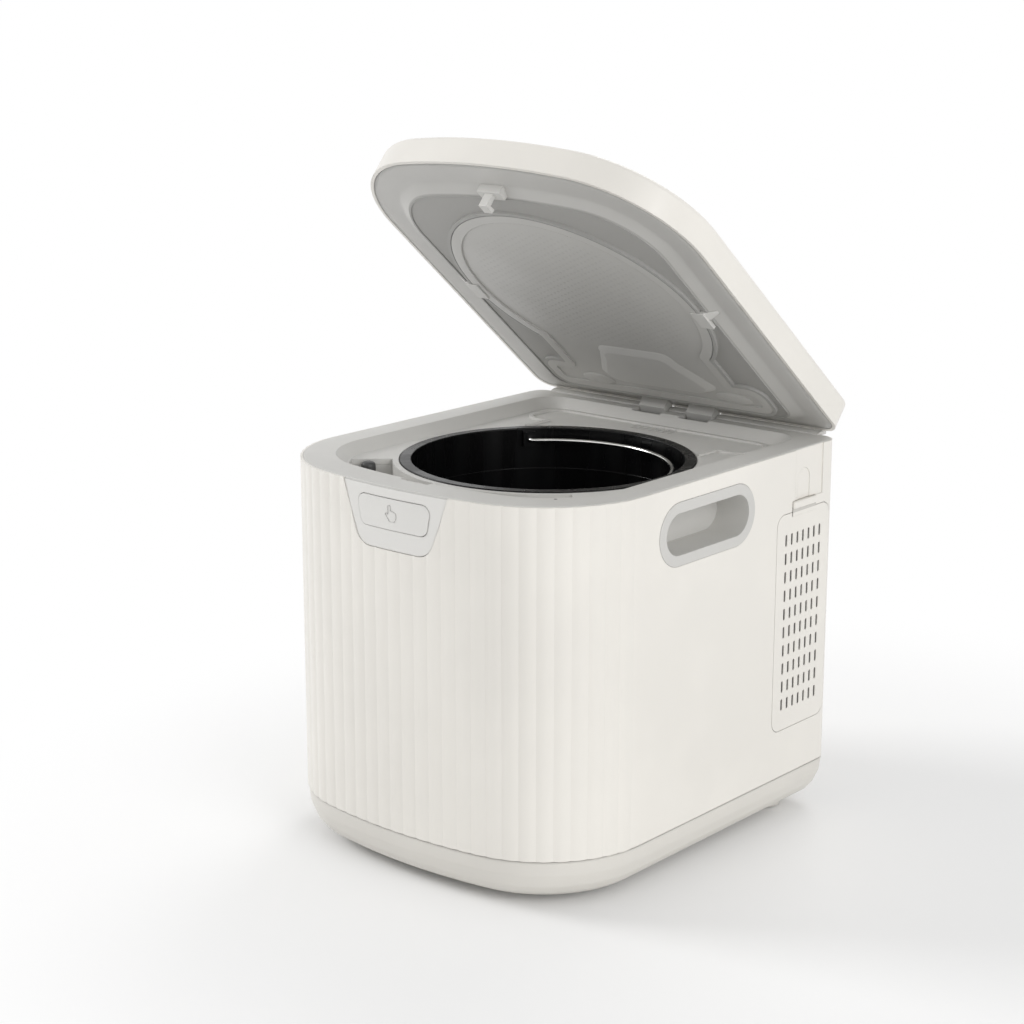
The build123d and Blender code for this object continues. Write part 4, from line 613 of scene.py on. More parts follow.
@dataclass(frozen=True)
class Metal:
    """Bare metal: drawn, brushed, plated or cast."""

    name: str
    colour: Colour
    roughness: float = 0.28
    brush: Brush = Brush.NONE
    spread: Pair = (-0.06, 0.1)
    relief: float = 0.01 * MM
    stain: float = 0.82
    stain_scale: float = 45.0

    def material(self) -> Material:
        """Builds the material.

        Returns:
            The material.
        """
        sheet = Sheet(self.name)
        marks = sheet.noise(1.0, 3.0, sheet.stretched(self.brush.value))
        stained = sheet.noise(self.stain_scale, 4.0).ramp(0.4, 0.7)
        base = linear(self.colour)
        colour = sheet.blend(stained, base, scaled(base, self.stain))
        rough = marks.ramp(0.25, 0.75, *(self.roughness + more for more in self.spread))
        normal = sheet.bump(marks, self.relief, 0.7)
        return sheet.finish(Base_Color=colour, Roughness=rough, Metallic=1.0, Normal=normal)


@dataclass(frozen=True)
class SoftRubber:
    """Rubber or silicone with a matt, faintly dusty skin."""

    name: str
    colour: Colour
    roughness: Pair = (0.62, 0.82)
    dusty: float = 0.6
    dust_light: Pair = (0.8, 0.06)

    def material(self) -> Material:
        """Builds the material.

        Returns:
            The material.
        """
        sheet = Sheet(self.name)
        dust = sheet.dust()
        base = linear(self.colour)
        colour = sheet.blend(dust * self.dusty, base, scaled(base, *self.dust_light))
        rough = dust.ramp(0.0, 1.0, *self.roughness)
        return sheet.finish(Base_Color=colour, Roughness=rough, Normal=sheet.skin())


@dataclass(frozen=True)
class SealRubber:
    """The lid seal's pale silicone, with a painted shade line where its inner flank meets the
    cover.
    """

    name: str
    colour: Colour
    roughness: Pair = (0.58, 0.72)
    dusty: float = 0.5
    dust_light: Pair = (0.9, 0.03)
    inner_r: Pair = (101.2 * MM, 102.1 * MM)
    line_end: float = 64.0 * MM
    crease_shade: float = 0.3

    def material(self) -> Material:
        """Builds the material.

        Returns:
            The material.
        """
        sheet = Sheet(self.name)
        x, y = sheet.lid_axis("X"), sheet.lid_axis("Y") - COVER_Y
        inner = x.length(y).fall(*self.inner_r) * (y < self.line_end)
        dust = sheet.dust()
        base = linear(self.colour)
        pale = sheet.blend(dust * self.dusty, base, scaled(base, *self.dust_light))
        # Painted shade: a dark line in the crease where the seal's inner flank meets the cover.
        colour = sheet.blend(inner, pale, scaled(base, self.crease_shade))
        rough = dust.ramp(0.0, 1.0, *self.roughness)
        return sheet.finish(Base_Color=colour, Roughness=rough, Normal=sheet.skin())


@dataclass(frozen=True)
class Felt:
    """Needled felt or pleated filter cloth."""

    name: str
    colour: Colour
    pleat: float = 0.0
    pleat_share: float = 0.3
    fibre_share: float = 0.4
    fibre_scale: float = 900.0
    fibre_stretch: Point = (1.0, 1.0, 2.5)
    fibre_light: Pair = (1.35, 0.01)
    pile: float = 0.5 * MM
    roughness: float = 0.92

    def material(self) -> Material:
        """Builds the material.

        Returns:
            The material.
        """
        sheet = Sheet(self.name)
        fibre = sheet.noise(self.fibre_scale, 6.0, sheet.stretched(self.fibre_stretch))
        base = linear(self.colour)
        colour = sheet.blend(fibre.ramp(0.35, 0.7), base, scaled(base, *self.fibre_light))
        height = fibre * self.fibre_share
        if self.pleat:
            pleats = (sheet.axis("Z") * (2 * math.pi / self.pleat)).sine()
            height = height + pleats * self.pleat_share
        normal = sheet.bump(height, self.pile, 0.8)
        return sheet.finish(Base_Color=colour, Roughness=self.roughness, Normal=normal)


@dataclass(frozen=True)
class CircuitBoard:
    """Green soldermask with copper tracks under it and tinned pads."""

    name: str
    colour: Colour = (0.04, 0.30, 0.14)
    tin: Colour = (0.75, 0.74, 0.70)
    copper: float = 1.7
    track_scale: float = 260.0
    track_edge: Pair = (0.04, 0.07)
    track_share: float = 0.4
    pad_scale: float = 420.0
    pad_edge: Pair = (0.16, 0.2)
    relief: float = 0.06 * MM
    roughness: float = 0.36

    def material(self) -> Material:
        """Builds the material.

        Returns:
            The material.
        """
        sheet = Sheet(self.name)
        track = 1 - sheet.cells("DISTANCE_TO_EDGE", self.track_scale).ramp(*self.track_edge)
        pad = 1 - sheet.cells("F1", self.pad_scale).ramp(*self.pad_edge)
        base = linear(self.colour)
        tracks = sheet.blend(track, base, scaled(base, self.copper))
        return sheet.finish(
            Base_Color=sheet.blend(pad, tracks, linear(self.tin)),
            Roughness=self.roughness,
            Metallic=pad,
            Normal=sheet.bump(pad + track * self.track_share, self.relief, 0.6),
        )


@dataclass(frozen=True)
class TouchPanel:
    """Glossy black panel with a row of four unlit rings and a dot past each end of it."""

    name: str
    colour: Colour = (0.045, 0.045, 0.05)
    mark: Colour = (0.62, 0.63, 0.64)
    row_y: float = -112.0 * MM
    row_start: float = -67.5 * MM
    row_half: float = 39.5 * MM
    pitch: float = 22.5 * MM
    ring_r: float = 5.2 * MM
    ring_line: float = 0.35 * MM
    dot_x: float = 42.5 * MM
    dot_half: float = 1.2 * MM
    roughness: Pair = (0.07, 0.22)
    print_scale: float = 55.0
    ripple: float = 0.01 * MM
    ripple_scale: float = 300.0
    gloss: float = 0.3
    gloss_roughness: float = 0.05

    def material(self) -> Material:
        """Builds the material.

        Returns:
            The material.
        """
        sheet = Sheet(self.name)
        across = sheet.axis("X")
        along = sheet.lid_axis("Y") - self.row_y
        cell = (((across - self.row_start) * (1 / self.pitch)).fraction() - 0.5) * self.pitch
        off_ring = abs(cell.length(along) - self.ring_r)
        ring = (off_ring < self.ring_line) * (abs(across) < self.row_half)
        off_dot = abs(abs(across) - self.dot_x)
        dot = (abs(along) < self.dot_half) * (off_dot < self.dot_half)
        return sheet.finish(
            Base_Color=sheet.blend(ring.most(dot), linear(self.colour), linear(self.mark)),
            Roughness=sheet.noise(self.print_scale, 5.0).ramp(0.45, 0.75, *self.roughness),
            Normal=sheet.bump(sheet.noise(self.ripple_scale, 1.0), self.ripple, 0.3),
            Coat_Weight=self.gloss,
            Coat_Roughness=self.gloss_roughness,
        )


@dataclass(frozen=True)
class DimpledCover:
    """The lid's inner cover: grey plastic with a honeycomb of fine dimples in its dish, darkened in
    the dimples as painted shade.
    """

    name: str
    colour: Colour
    pitch: float = 4.8 * MM
    dimple_edge: Pair = (0.6, 2.4)
    dish_r: Pair = (76.0 * MM, 88.0 * MM)
    dish_end: Pair = (50.0 * MM, 58.0 * MM)
    tone: float = 0.9
    dimple_share: float = 0.7
    cloud_share: float = 0.3
    roughness: Pair = (0.36, 0.46)
    depth: float = 0.2 * MM
    edge: float = 0.8 * MM
    grain: float = 0.02 * MM
    grain_scale: float = 2400.0

    def material(self) -> Material:
        """Builds the material.

        Returns:
            The material.
        """
        sheet = Sheet(self.name)
        x, y = sheet.lid_axis("X"), sheet.lid_axis("Y")
        turns = 2 * math.pi / self.pitch
        sixty = math.radians(60.0)
        half_x, up_y = x * (turns * math.cos(sixty)), y * (turns * math.sin(sixty))
        wave = (x * turns).sine() + (up_y + half_x).sine() + (up_y - half_x).sine()
        dimple = wave.ramp(*self.dimple_edge)
        dish = x.length(y - COVER_Y).fall(*self.dish_r)
        sunk = dimple * (dish * y.fall(*self.dish_end))
        base = linear(self.colour)
        cloud = sheet.cloud(14.0)
        # Painted shade in the dimples, together with random cloudy tone.
        shade = (sunk * self.dimple_share).most(cloud * self.cloud_share)
        under = sheet.bump(1 - sunk, self.depth, 0.6, sheet.rounded(self.edge))
        return sheet.finish(
            Base_Color=sheet.blend(shade, base, scaled(base, self.tone)),
            Roughness=cloud.ramp(0.0, 1.0, *self.roughness),
            Normal=sheet.bump(sheet.noise(self.grain_scale, 1.0), self.grain, 0.5, under),
        )


CREAM = {"colour": (0.925, 0.912, 0.885), "roughness": 0.34, "clearcoat": 0.15}
# Painted shade: the filter cover is darkened behind its outer face, in its slot walls, to stand for
# the shade deep in the slots.
SLOT_SHADE = ("X", 0.0, 139.2 * MM, 0.25)
# Painted shade: a band of the latch, and of the catch's apron, is darkened under the catch bar to
# stand for the shadow under it.
SHADE_UNDER_BAR = ("Z", 233.3 * MM, 235.9 * MM, 0.68)

# Every finish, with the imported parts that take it.
FINISHES: tuple[tuple[Any, str], ...] = (
    (MouldedPlastic("cream_shell", **CREAM), "front_shell rear_panel lid_shell"),
    (MouldedPlastic("cream_grille_slot_shade", shaded=SLOT_SHADE, **CREAM), "filter_cover"),
    (MouldedPlastic("cream_latch_under_shade", shaded=SHADE_UNDER_BAR, **CREAM), "filter_latch"),
    # Painted shade: the skirt and the foot collars take a darker copy of the shell's cream, as the
    # skirt faces down and gets less light.
    (MouldedPlastic("shaded_cream_skirt", (0.870, 0.858, 0.832), 0.40, edge=4.0 * MM), "base_skirt"),
    (DeckPlastic("grey_deck", (0.825, 0.820, 0.805)), "deck latch_housing hinge_arms"),
    (MouldedPlastic("grey_button", (0.885, 0.880, 0.866), 0.40), "release_button"),
    (MouldedPlastic("grey_cup", (0.81, 0.805, 0.79), 0.42), "handle_cup_right handle_cup_left"),
    (LinerPlastic("lid_liner_grey", (0.775, 0.770, 0.755)), "lid_liner"),
    # Painted light: the inner cover takes a lighter grey than the liner, to offset the shade that
    # the deck and bucket cast on it.
    (DimpledCover("inner_cover_lit_grey", (0.795, 0.790, 0.775)), "inner_cover"),
    (MouldedPlastic("tab_grey", (0.84, 0.835, 0.82), 0.40), "cover_clips latch_hook"),
    (SealRubber("grey_silicone", (0.69, 0.687, 0.675)), "lid_gasket shaft_seal"),
    (SoftRubber("foot_rubber", (0.55, 0.55, 0.54)), "feet"),
    (
        MouldedPlastic("dark_plastic", (0.13, 0.13, 0.135), 0.5),
        "fan_frame fan_impeller power_inlet board_parts bucket_bush intake_duct filter_duct",
    ),
    (MouldedPlastic("sensor_cap", (0.24, 0.24, 0.24), 0.45), "lid_switch"),
    (MouldedPlastic("inner_plastic", (0.42, 0.42, 0.42), 0.5), "filter_housing filter_tray"),
    (
        MouldedPlastic("natural_nylon", (0.88, 0.87, 0.82), 0.45),
        "gearbox_case gearbox_cover output_gear latch_slider friction_washers",
    ),
    (GlossCoating("black_bucket", (0.045, 0.045, 0.048)), "bucket bail_ears"),
    (GlossCoating("black_agitator", (0.06, 0.06, 0.062), 0.26), "agitator"),
    (
        Metal("plain_steel", (0.70, 0.70, 0.69), 0.3),
        "rear_screws button_springs hinge_pin drive_bearings drive_shaft pinion_shaft "
        "fixed_cutters lid_magnet",
    ),
    (Metal("bright_wire", (0.90, 0.90, 0.89), 0.14, relief=0.004 * MM), "bail_handle"),
    (
        Metal("zinc_sheet", (0.64, 0.64, 0.63), 0.38, Brush.ALONG_X),
        "chassis_plate support_posts hinge_bracket motor",
    ),
    (Metal("cast_aluminium", (0.62, 0.62, 0.62), 0.45, relief=0.05 * MM), "heater_plate"),
    (Metal("drawn_chamber", (0.68, 0.68, 0.68), 0.32, Brush.ALONG_Z), "chamber_liner"),
    (Metal("brass", (0.80, 0.66, 0.36), 0.3), "temperature_sensor inlet_blades board_standoffs"),
    (Felt("jacket_felt", (0.80, 0.79, 0.74)), "thermal_jacket"),
    (Felt("carbon_cloth", (0.09, 0.09, 0.09), 4.0 * MM), "carbon_filter"),
    (CircuitBoard("circuit_board"), "power_board display_board"),
    (TouchPanel("touch_panel"), "control_panel"),
    # Painted shade: the hand sign takes a darker grey than the button, standing for the shade along
    # its moulded line.
    (MouldedPlastic("sign_shade_grey", (0.60, 0.595, 0.58), 0.45), ""),
)


def dress() -> dict[str, Material]:
    """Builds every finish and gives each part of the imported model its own.

    Returns:
        The materials, by name.
    """
    made, wanted = {}, {}
    for finish, nodes in FINISHES:
        made[finish.name] = finish.material()
        wanted.update(dict.fromkeys(nodes.split(), made[finish.name]))
    missing = set(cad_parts) - set(wanted)
    if missing:
        raise ValueError(f"no finish for {sorted(missing)}")
    for name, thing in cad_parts.items():
        thing.data.materials.clear()
        thing.data.materials.append(wanted[name])
        log.info("dressed %s with %s", name, wanted[name].name)
    return made


def add(name: str, data: bpy.types.ID) -> bpy.types.Object:
    """Adds an object to the scene.

    Args:
        name: Its name.
        data: Its mesh, lamp or camera.

    Returns:
        The object, at the origin.
    """
    thing = bpy.data.objects.new(name, data)
    bpy.context.scene.collection.objects.link(thing)
    return thing


def publish(
    name: str,
    grid: Mesh,
    material: Material,
    body: str,
    crease: Optional[float] = None,
) -> bpy.types.Object:
    """Turns a finished bmesh into a piece that rides on a body.

    Args:
        name: The piece's name.
        grid: Its bmesh, in the row frame, which is freed.
        material: Its finish.
        body: The body that carries it.
        crease: The angle in degrees past which an edge stays sharp, or None for a soft piece.

    Returns:
        The piece's object, at the origin.
    """
    bmesh.ops.remove_doubles(grid, verts=grid.verts, dist=1e-6)
    bmesh.ops.recalc_face_normals(grid, faces=grid.faces)
    for edge in grid.edges:
        if crease is not None and len(edge.link_faces) == 2:
            edge.smooth = edge.calc_face_angle() < math.radians(crease)
    for face in grid.faces:
        face.smooth = True
    mesh = bpy.data.meshes.new(name)
    grid.to_mesh(mesh)
    grid.free()
    mesh.materials.append(material)
    piece = add(name, mesh)
    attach(piece, body)
    log.info("built %s on %s, %d faces", name, body, len(mesh.polygons))
    return piece


def box(size: Point, middle: Point) -> Mesh:
    """Starts a piece as a box.

    Args:
        size: Its size along X, Y and Z.
        middle: Its centre, in the row frame.

    Returns:
        The box's bmesh.
    """
    grid = bmesh.new()
    bmesh.ops.create_cube(grid, size=1.0)
    bmesh.ops.scale(grid, vec=size, verts=grid.verts)
    bmesh.ops.translate(grid, verts=grid.verts, vec=middle)
    return grid


def bevel(
    grid: Mesh, edges: list[bmesh.types.BMEdge], width: float, segments: int = 3
) -> None:
    """Rounds some edges of a piece.

    Args:
        grid: The piece's bmesh.
        edges: The edges.
        width: How far the rounding reaches.
        segments: How many facets it has.
    """
    bmesh.ops.bevel(
        grid, geom=edges, offset=width, affect="EDGES", segments=segments, profile=0.5, material=-1
    )


def draw_out(
    grid: Mesh, faces: list[bmesh.types.BMFace], shift: Point, keep: bool = True
) -> None:
    """Draws faces out into a solid.

    Args:
        grid: The piece's bmesh.
        faces: The faces.
        shift: How far they move.
        keep: Whether the first faces stay, to close the solid.
    """
    drawn = bmesh.ops.extrude_face_region(grid, geom=faces, use_keep_orig=keep)
    moved = [item for item in drawn["geom"] if isinstance(item, bmesh.types.BMVert)]
    bmesh.ops.translate(grid, verts=moved, vec=shift)


def lift_onto_lid(grid: Mesh) -> None:
    """Turns a piece about the hinge, from the shut lid to the open one.

    Args:
        grid: The piece's bmesh.
    """
    turn = Matrix.Rotation(-LID_OPEN, 3, "X")
    bmesh.ops.rotate(grid, verts=grid.verts, cent=HINGE, matrix=turn)


@dataclass
class PressSign:
    """The raised outline of a pressing hand on the release button."""

    line: float = 0.85 * MM
    height: float = 0.3 * MM
    sunk: float = 0.05 * MM
    middle: Pair = (-1.6 * MM, 260.4 * MM)
    outline: tuple[Pair, ...] = (
        (-2.0, -1.0), (-2.0, 4.5), (-1.7, 5.2), (-0.9, 5.6), (-0.1, 5.2), (0.2, 4.5), (0.2, 1.3),
        (0.6, 1.8), (1.2, 1.9), (1.8, 1.6), (2.0, 1.1), (2.4, 1.4), (3.0, 1.4), (3.5, 1.1),
        (3.7, 0.6), (4.1, 0.8), (4.7, 0.6), (5.1, 0.1), (5.2, -0.6), (5.2, -2.6), (4.8, -3.9),
        (4.1, -4.8), (3.9, -5.6), (-1.0, -5.6), (-1.3, -4.7), (-2.4, -3.5), (-3.5, -2.2),
        (-4.3, -1.1), (-4.3, -0.4), (-3.7, 0.0), (-3.0, -0.2), (-2.4, -0.9),
    )

    def build(self, material: Material) -> None:
        """Builds the sign.

        Args:
            material: Its finish.
        """
        grid = bmesh.new()
        across, up = self.middle
        front = BUTTON_FRONT_Y + self.sunk
        corners = [grid.verts.new((across + x * MM, front, up + z * MM)) for x, z in self.outline]
        face = grid.faces.new(corners)
        bmesh.ops.inset_region(
            grid, faces=[face], thickness=self.line, use_even_offset=True, use_boundary=True
        )
        bmesh.ops.delete(grid, geom=[face], context="FACES_ONLY")
        draw_out(grid, grid.faces[:], (0.0, -self.height - self.sunk, 0.0), keep=False)
        publish("press_sign", grid, material, "release")


@dataclass
class PressSprings:
    """The two coils behind the release button, which shorten as it is pressed."""

    travel: float = 3.0 * MM
    node: str = "button_springs"
    joint: str = "button_press"

    def build(self, material: Material) -> None:
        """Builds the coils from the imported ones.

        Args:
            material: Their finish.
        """
        low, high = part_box(self.node)
        grid = bmesh.new()
        grid.from_mesh(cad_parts[self.node].data)
        coils = publish("press_springs", grid, material, "housing", crease=50.0)
        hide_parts(self.node)
        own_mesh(coils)


@dataclass
class FillMarks:
    """The fine raised rings inside the bucket that mark how far it may be filled."""

    depths: tuple[float, ...] = (31.0 * MM, 66.0 * MM)
    width: float = 0.9 * MM
    proud: float = 0.25 * MM
    sunk: float = 0.1 * MM
    steps: int = 144

    def build(self, material: Material) -> None:
        """Builds the rings.

        Args:
            material: Their finish.
        """
        for count, depth in enumerate(self.depths):
            grid = bmesh.new()
            middle = Vector((BUCKET_R, BUCKET_Y, RIM_TOP_Z - depth))
            profile = (
                (self.sunk, -self.width / 2),
                (-self.proud, -self.width / 4),
                (-self.proud, self.width / 4),
                (self.sunk, self.width / 2),
            )
            verts = [grid.verts.new(middle + Vector((out, 0.0, up))) for out, up in profile]
            edges = [grid.edges.new(pair) for pair in zip(verts, verts[1:] + verts[:1])]
            bmesh.ops.spin(
                grid,
                geom=verts + edges,
                cent=(0.0, BUCKET_Y, middle.z),
                axis=(0.0, 0.0, 1.0),
                angle=2 * math.pi,
                steps=self.steps,
                use_merge=True,
            )
            publish(f"fill_mark_{count + 1}", grid, material, "bucket")


@dataclass
class CoverSwellings:
    """The soft swellings moulded into the inner cover's wings, beside the hood."""

    places: tuple[tuple[float, float, float, float], ...] = (
        (-57.0, 111.0, 15.0, 7.5),
        (69.0, 110.0, 16.0, 8.0),
    )
    rise: float = 1.9 * MM
    sunk: float = 0.25 * MM

    def build(self, material: Material) -> None:
        """Builds both swellings on the lid.

        Args:
            material: Their finish.
        """
        for count, (x, y, half_x, half_y) in enumerate(self.places):
            grid = bmesh.new()
            bmesh.ops.create_uvsphere(grid, u_segments=48, v_segments=24, radius=1.0)
            bmesh.ops.scale(grid, vec=(half_x * MM, half_y * MM, self.rise), verts=grid.verts)
            whole = [*grid.verts, *grid.edges, *grid.faces]
            bmesh.ops.bisect_plane(
                grid,
                geom=whole,
                plane_co=(0.0, 0.0, self.sunk),
                plane_no=(0.0, 0.0, 1.0),
                clear_outer=True,
            )
            bmesh.ops.holes_fill(grid, edges=[edge for edge in grid.edges if edge.is_boundary])
            bmesh.ops.translate(grid, verts=grid.verts, vec=(x * MM, y * MM, COVER_DISH_Z))
            lift_onto_lid(grid)
            publish(f"cover_swelling_{count + 1}", grid, material, "lid")


@dataclass
class HingeBarrel:
    """The ridge along the deck's rear edge, which hides the hinge and parts for the lid's arms."""

    radius: float = 12.26 * MM
    front_angle: float = math.radians(-29.3)
    back_angle: float = math.radians(24.0)
    low: float = 9.3 * MM
    deck_rear: float = -1.6 * MM
    sunk: float = 0.1 * MM
    steps: int = 16
    spans: tuple[Pair, ...] = ((-125.0, -34.6), (-9.4, 9.4), (34.6, 125.0))

    def build(self, material: Material) -> None:
        """Builds the ridge's three lengths.

        Args:
            material: Their finish.
        """
        for count, (left, right) in enumerate(self.spans):
            grid = bmesh.new()
            crown = Vector((0.0, math.sin(self.front_angle), math.cos(self.front_angle)))
            first = grid.verts.new(HINGE + Vector((left * MM, 0.0, 0.0)) + crown * self.radius)
            swept = bmesh.ops.spin(
                grid,
                geom=[first],
                cent=HINGE,
                axis=(1.0, 0.0, 0.0),
                angle=self.front_angle - self.back_angle,
                steps=self.steps,
                use_merge=False,
            )
            last = next(item for item in swept["geom_last"] if isinstance(item, bmesh.types.BMVert))
            rear, heel, seat = HINGE.y + self.deck_rear, HINGE.z + self.low, DECK_Z - self.sunk
            corners = ((last.co.y, heel), (rear, heel), (rear, seat), (first.co.y, seat))
            chain = [last, *(grid.verts.new((left * MM, y, z)) for y, z in corners), first]
            for pair in zip(chain, chain[1:]):
                grid.edges.new(pair)
            end = bmesh.ops.contextual_create(grid, geom=[*grid.verts, *grid.edges])["faces"]
            draw_out(grid, end, ((right - left) * MM, 0.0, 0.0))
            name = f"hinge_barrel_{count + 1}"
            publish(name, grid, material, "housing", crease=35.0)


@dataclass
class CoverTabs:
    """The light finger tabs that run from the inner cover's clips up the lid's slope."""

    outline: tuple[Pair, ...] = (
        (103.5, 274.9), (103.5, 272.2), (105.0, 271.9), (108.4, 273.5),
        (115.4, 276.5), (116.2, 277.3), (116.0, 277.9), (109.3, 274.9),
    )
    front: float = -12.6 * MM
    length: float = 8.0 * MM
    tip_x: float = 110.0 * MM
    taper: float = 0.4
    taper_about: float = 0.25
    edge: float = 0.5 * MM

    def build(self, material: Material) -> None:
        """Builds both tabs on the lid.

        Args:
            material: Their finish.
        """
        for side, name in ((1.0, "cover_tab_right"), (-1.0, "cover_tab_left")):
            grid = bmesh.new()
            corners = [(side * x * MM, self.front, z * MM) for x, z in self.outline]
            face = grid.faces.new([grid.verts.new(corner) for corner in corners])
            draw_out(grid, [face], (0.0, self.length, 0.0))
            tip = [vert for vert in grid.verts if abs(vert.co.x) > self.tip_x]
            pivot = Matrix.Translation((0.0, -self.front - self.length * self.taper_about, 0.0))
            bmesh.ops.scale(grid, vec=(1.0, self.taper, 1.0), verts=tip, space=pivot)
            bmesh.ops.recalc_face_normals(grid, faces=grid.faces)
            bevel(grid, grid.edges[:], self.edge, segments=2)
            lift_onto_lid(grid)
            publish(name, grid, material, "lid")


@dataclass
class HoodBrow:
    """The low platform with sloping sides over the inner cover's steam outlet."""

    middle: Point = (4.0 * MM, 84.3 * MM, 272.54 * MM)
    size: Point = (60.0 * MM, 43.0 * MM, 2.62 * MM)
    corner: float = 9.0 * MM
    flare: float = 1.5
    spread: float = 1.16
    edge: float = 0.6 * MM
    corner_facets: int = 8

    def build(self, material: Material) -> None:
        """Builds the platform on the lid.

        Args:
            material: Its finish.
        """
        grid = box(self.size, self.middle)
        upright = [
            edge for edge in grid.edges if abs(edge.verts[0].co.z - edge.verts[1].co.z) > 1.0 * MM
        ]
        bevel(grid, upright, self.corner, self.corner_facets)
        rear = [vert for vert in grid.verts if vert.co.y > self.middle[1]]
        bmesh.ops.scale(grid, vec=(self.flare, 1.0, 1.0), verts=rear)
        base = [vert for vert in grid.verts if vert.co.z > self.middle[2]]
        pivot = Matrix.Translation((0.0, -self.middle[1] - self.size[1] / 2, 0.0))
        bmesh.ops.scale(grid, vec=(self.spread, self.spread, 1.0), verts=base, space=pivot)
        low = self.middle[2]
        rim = [edge for edge in grid.edges if all(vert.co.z < low for vert in edge.verts)]
        bevel(grid, rim, self.edge)
        lift_onto_lid(grid)
        publish("hood_platform", grid, material, "lid", crease=40.0)


@dataclass
class CatchBar:
    """One bar on the face of the filter drawer's catch, which narrows towards its front."""

    name: str
    x: Pair
    z: Pair
    edge: float
    along: float = 111.2 * MM
    width: float = 29.6 * MM
    lean: float = 0.93

    def build(self, material: Material) -> None:
        """Builds the bar.

        Args:
            material: Its finish.
        """
        (back, front), (foot, top) = self.x, self.z
        middle = ((back + front) / 2, self.along, (foot + top) / 2)
        grid = box((front - back, self.width, top - foot), middle)
        outer = [vert for vert in grid.verts if vert.co.x > middle[0]]
        pivot = Matrix.Translation((0.0, -middle[1], -middle[2]))
        bmesh.ops.scale(grid, vec=(1.0, self.lean, self.lean), verts=outer, space=pivot)
        bevel(grid, grid.edges[:], self.edge)
        publish(self.name, grid, material, "filter_catch", crease=40.0)


CATCH_BAR = CatchBar("catch_plate", (140.3 * MM, 142.2 * MM), (235.7 * MM, 240.9 * MM), 0.6 * MM)
CATCH_APRON = CatchBar("catch_apron", (140.3 * MM, 140.9 * MM), (230.1 * MM, 236.3 * MM), 0.15 * MM)


@dataclass
class FootCollars:
    """The low moulded collars round the two rear feet, which show under the skirt's edge."""

    inner: float = 95.0 * MM
    outer: float = 110.0 * MM
    back: float = 116.5 * MM
    radius: float = 13.0 * MM
    draft: float = 1.6 * MM
    low: float = 1.2 * MM
    high: float = 8.5 * MM
    edge: float = 0.8 * MM
    steps: int = 16

    def outline(self, radius: float) -> list[Pair]:
        """One collar's outline in plan, a slot with round ends.

        Args:
            radius: The radius of its ends.

        Returns:
            The outline's points, as pairs of X and Y.
        """
        points = []
        for centre, start in ((self.outer, -0.5), (self.inner, 0.5)):
            for step in range(self.steps + 1):
                turn = math.pi * (start + step / self.steps)
                across, along = radius * math.cos(turn), radius * math.sin(turn)
                points.append((centre + across, self.back + along))
        return points

    def build(self, material: Material) -> None:
        """Builds both collars.

        Args:
            material: Their finish.
        """
        for name, side in (("foot_collar_right", 1.0), ("foot_collar_left", -1.0)):
            grid = bmesh.new()
            foot, top = (
                [grid.verts.new((side * x, y, z)) for x, y in self.outline(radius)]
                for radius, z in ((self.radius - self.draft, self.low), (self.radius, self.high))
            )
            grid.faces.new(top)
            rim = grid.faces.new(foot).edges[:]
            for at in range(len(foot)):
                grid.faces.new((foot[at - 1], foot[at], top[at], top[at - 1]))
            bevel(grid, rim, self.edge)
            publish(name, grid, material, "housing", crease=40.0)


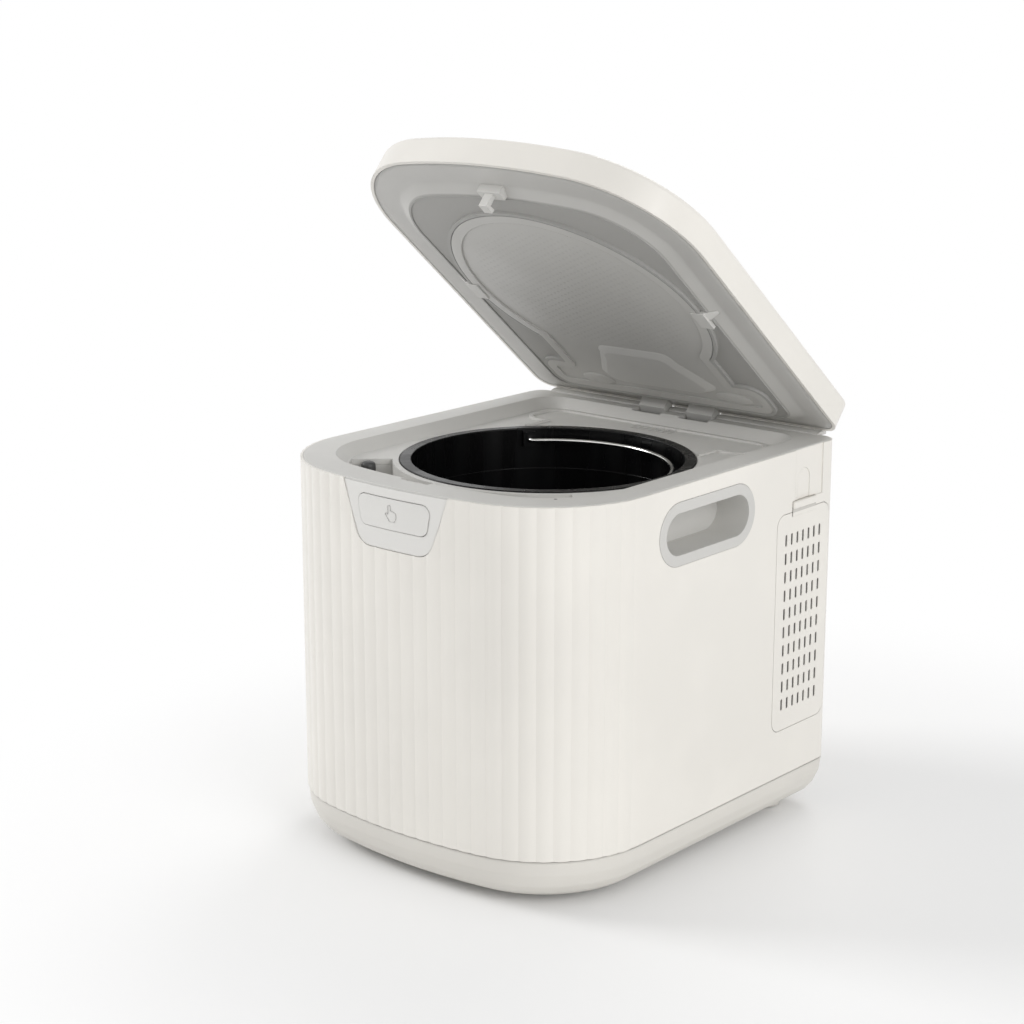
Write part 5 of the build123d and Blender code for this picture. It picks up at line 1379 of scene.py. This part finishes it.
@dataclass
class Studio:
    """The floor, the lamps, the world and the camera."""

    camera_at: Point = (0.9941, -1.2120, 0.6304)
    azimuth: float = 40.42
    pitch: float = 14.36
    lens: float = 79.6
    sensor: float = 36.0
    floor_half: float = 12.0
    floor_tones: tuple[Paint, Paint] = ((0.93, 0.93, 0.93, 1.0), (0.95, 0.95, 0.95, 1.0))
    floor_roughness: float = 0.9
    shadow_at: Pair = (0.16, 0.02)
    shadow_reach: Pair = (0.26, 0.62)
    world: float = 0.54
    aim: Point = (0.0, 0.0, 0.18)
    lamps: tuple[tuple[str, Point, float, float], ...] = (
        ("key", (-2.9, -1.35, 1.8), 1.2, 50.0),
        ("fill", (2.9, -0.8, 1.4), 1.8, 38.0),
        ("back", (-0.6, 2.4, 2.4), 1.5, 20.0),
    )

    def build(self) -> None:
        """Sets up the studio."""
        self._camera()
        self._floor()
        self._world()
        for lamp in self.lamps:
            self._lamp(*lamp)
        bpy.context.scene.view_settings.view_transform = "Standard"
        log.info("studio ready")

    def _camera(self) -> None:
        """Stands the camera where the photograph was taken from."""
        data = bpy.data.cameras.new("camera")
        data.lens = self.lens
        data.sensor_width = self.sensor
        camera = add("camera", data)
        camera.location = self.camera_at
        camera.rotation_euler = (math.radians(90.0 - self.pitch), 0.0, math.radians(self.azimuth))
        bpy.context.scene.camera = camera

    def _floor(self) -> None:
        """Lays a pale floor that keeps the machine's shadow."""
        mesh = bpy.data.meshes.new("floor")
        grid = bmesh.new()
        bmesh.ops.create_grid(grid, x_segments=2, y_segments=2, size=self.floor_half)
        grid.to_mesh(mesh)
        grid.free()
        floor = add("floor", mesh)
        sheet = Sheet("pale_floor")
        tint = sheet.blend(sheet.noise(3.0, 3.0), *self.floor_tones)
        mesh.materials.append(sheet.finish(Base_Color=tint, Roughness=self.floor_roughness))
        x, y = sheet.axis("X") - self.shadow_at[0], sheet.axis("Y") - self.shadow_at[1]
        away = x.length(y).ramp(*self.shadow_reach)
        seen = sheet.node("ShaderNodeLightPath", {}, {}, "Is Camera Ray")
        sheet.fade_to_white(away * seen)

    def _world(self) -> None:
        """Lights the room evenly, and shows it white to the camera and in reflections."""
        world = bpy.data.worlds.new("room")
        bpy.context.scene.world = world
        world.use_nodes = True
        nodes, links = world.node_tree.nodes, world.node_tree.links
        nodes.clear()
        path = nodes.new("ShaderNodeLightPath")
        shown = path.outputs["Is Camera Ray"]
        for ray in ("Is Transmission Ray", "Is Glossy Ray"):
            either = nodes.new("ShaderNodeMath")
            either.operation = "MAXIMUM"
            links.new(shown, either.inputs[0])
            links.new(path.outputs[ray], either.inputs[1])
            shown = either.outputs[0]
        mixed = nodes.new("ShaderNodeMixShader")
        links.new(shown, mixed.inputs[0])
        for count, strength in enumerate((self.world, 1.0)):
            light = nodes.new("ShaderNodeBackground")
            light.inputs["Color"].default_value = WHITE
            light.inputs["Strength"].default_value = strength
            links.new(light.outputs[0], mixed.inputs[count + 1])
        output = nodes.new("ShaderNodeOutputWorld")
        links.new(mixed.outputs[0], output.inputs["Surface"])

    def _lamp(self, name: str, place: Point, size: float, power: float) -> None:
        """Hangs one soft square lamp that points at the machine.

        Args:
            name: The lamp's name.
            place: Where it hangs.
            size: Its side, in metres.
            power: Its power, in watts.
        """
        data = bpy.data.lights.new(name, "AREA")
        data.size = size
        data.energy = power
        lamp = add(name, data)
        lamp.location = place
        sight = Vector(self.aim) - Vector(place)
        lamp.rotation_euler = sight.to_track_quat("-Z", "Y").to_euler()


def main() -> None:
    """Builds the whole scene."""
    logging.basicConfig(level=logging.INFO, format="%(message)s")
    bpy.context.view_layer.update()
    looks = dress()
    PressSign().build(looks["sign_shade_grey"])
    PressSprings().build(looks["plain_steel"])
    FillMarks().build(looks["black_bucket"])
    CoverSwellings().build(looks["inner_cover_lit_grey"])
    HingeBarrel().build(looks["grey_deck"])
    CoverTabs().build(looks["tab_grey"])
    HoodBrow().build(looks["tab_grey"])
    CATCH_BAR.build(looks["cream_shell"])
    # The apron takes the latch finish with its painted shade under the bar.
    CATCH_APRON.build(looks["cream_latch_under_shade"])
    FootCollars().build(looks["shaded_cream_skirt"])
    Studio().build()


if __name__ == "__main__":
    main()
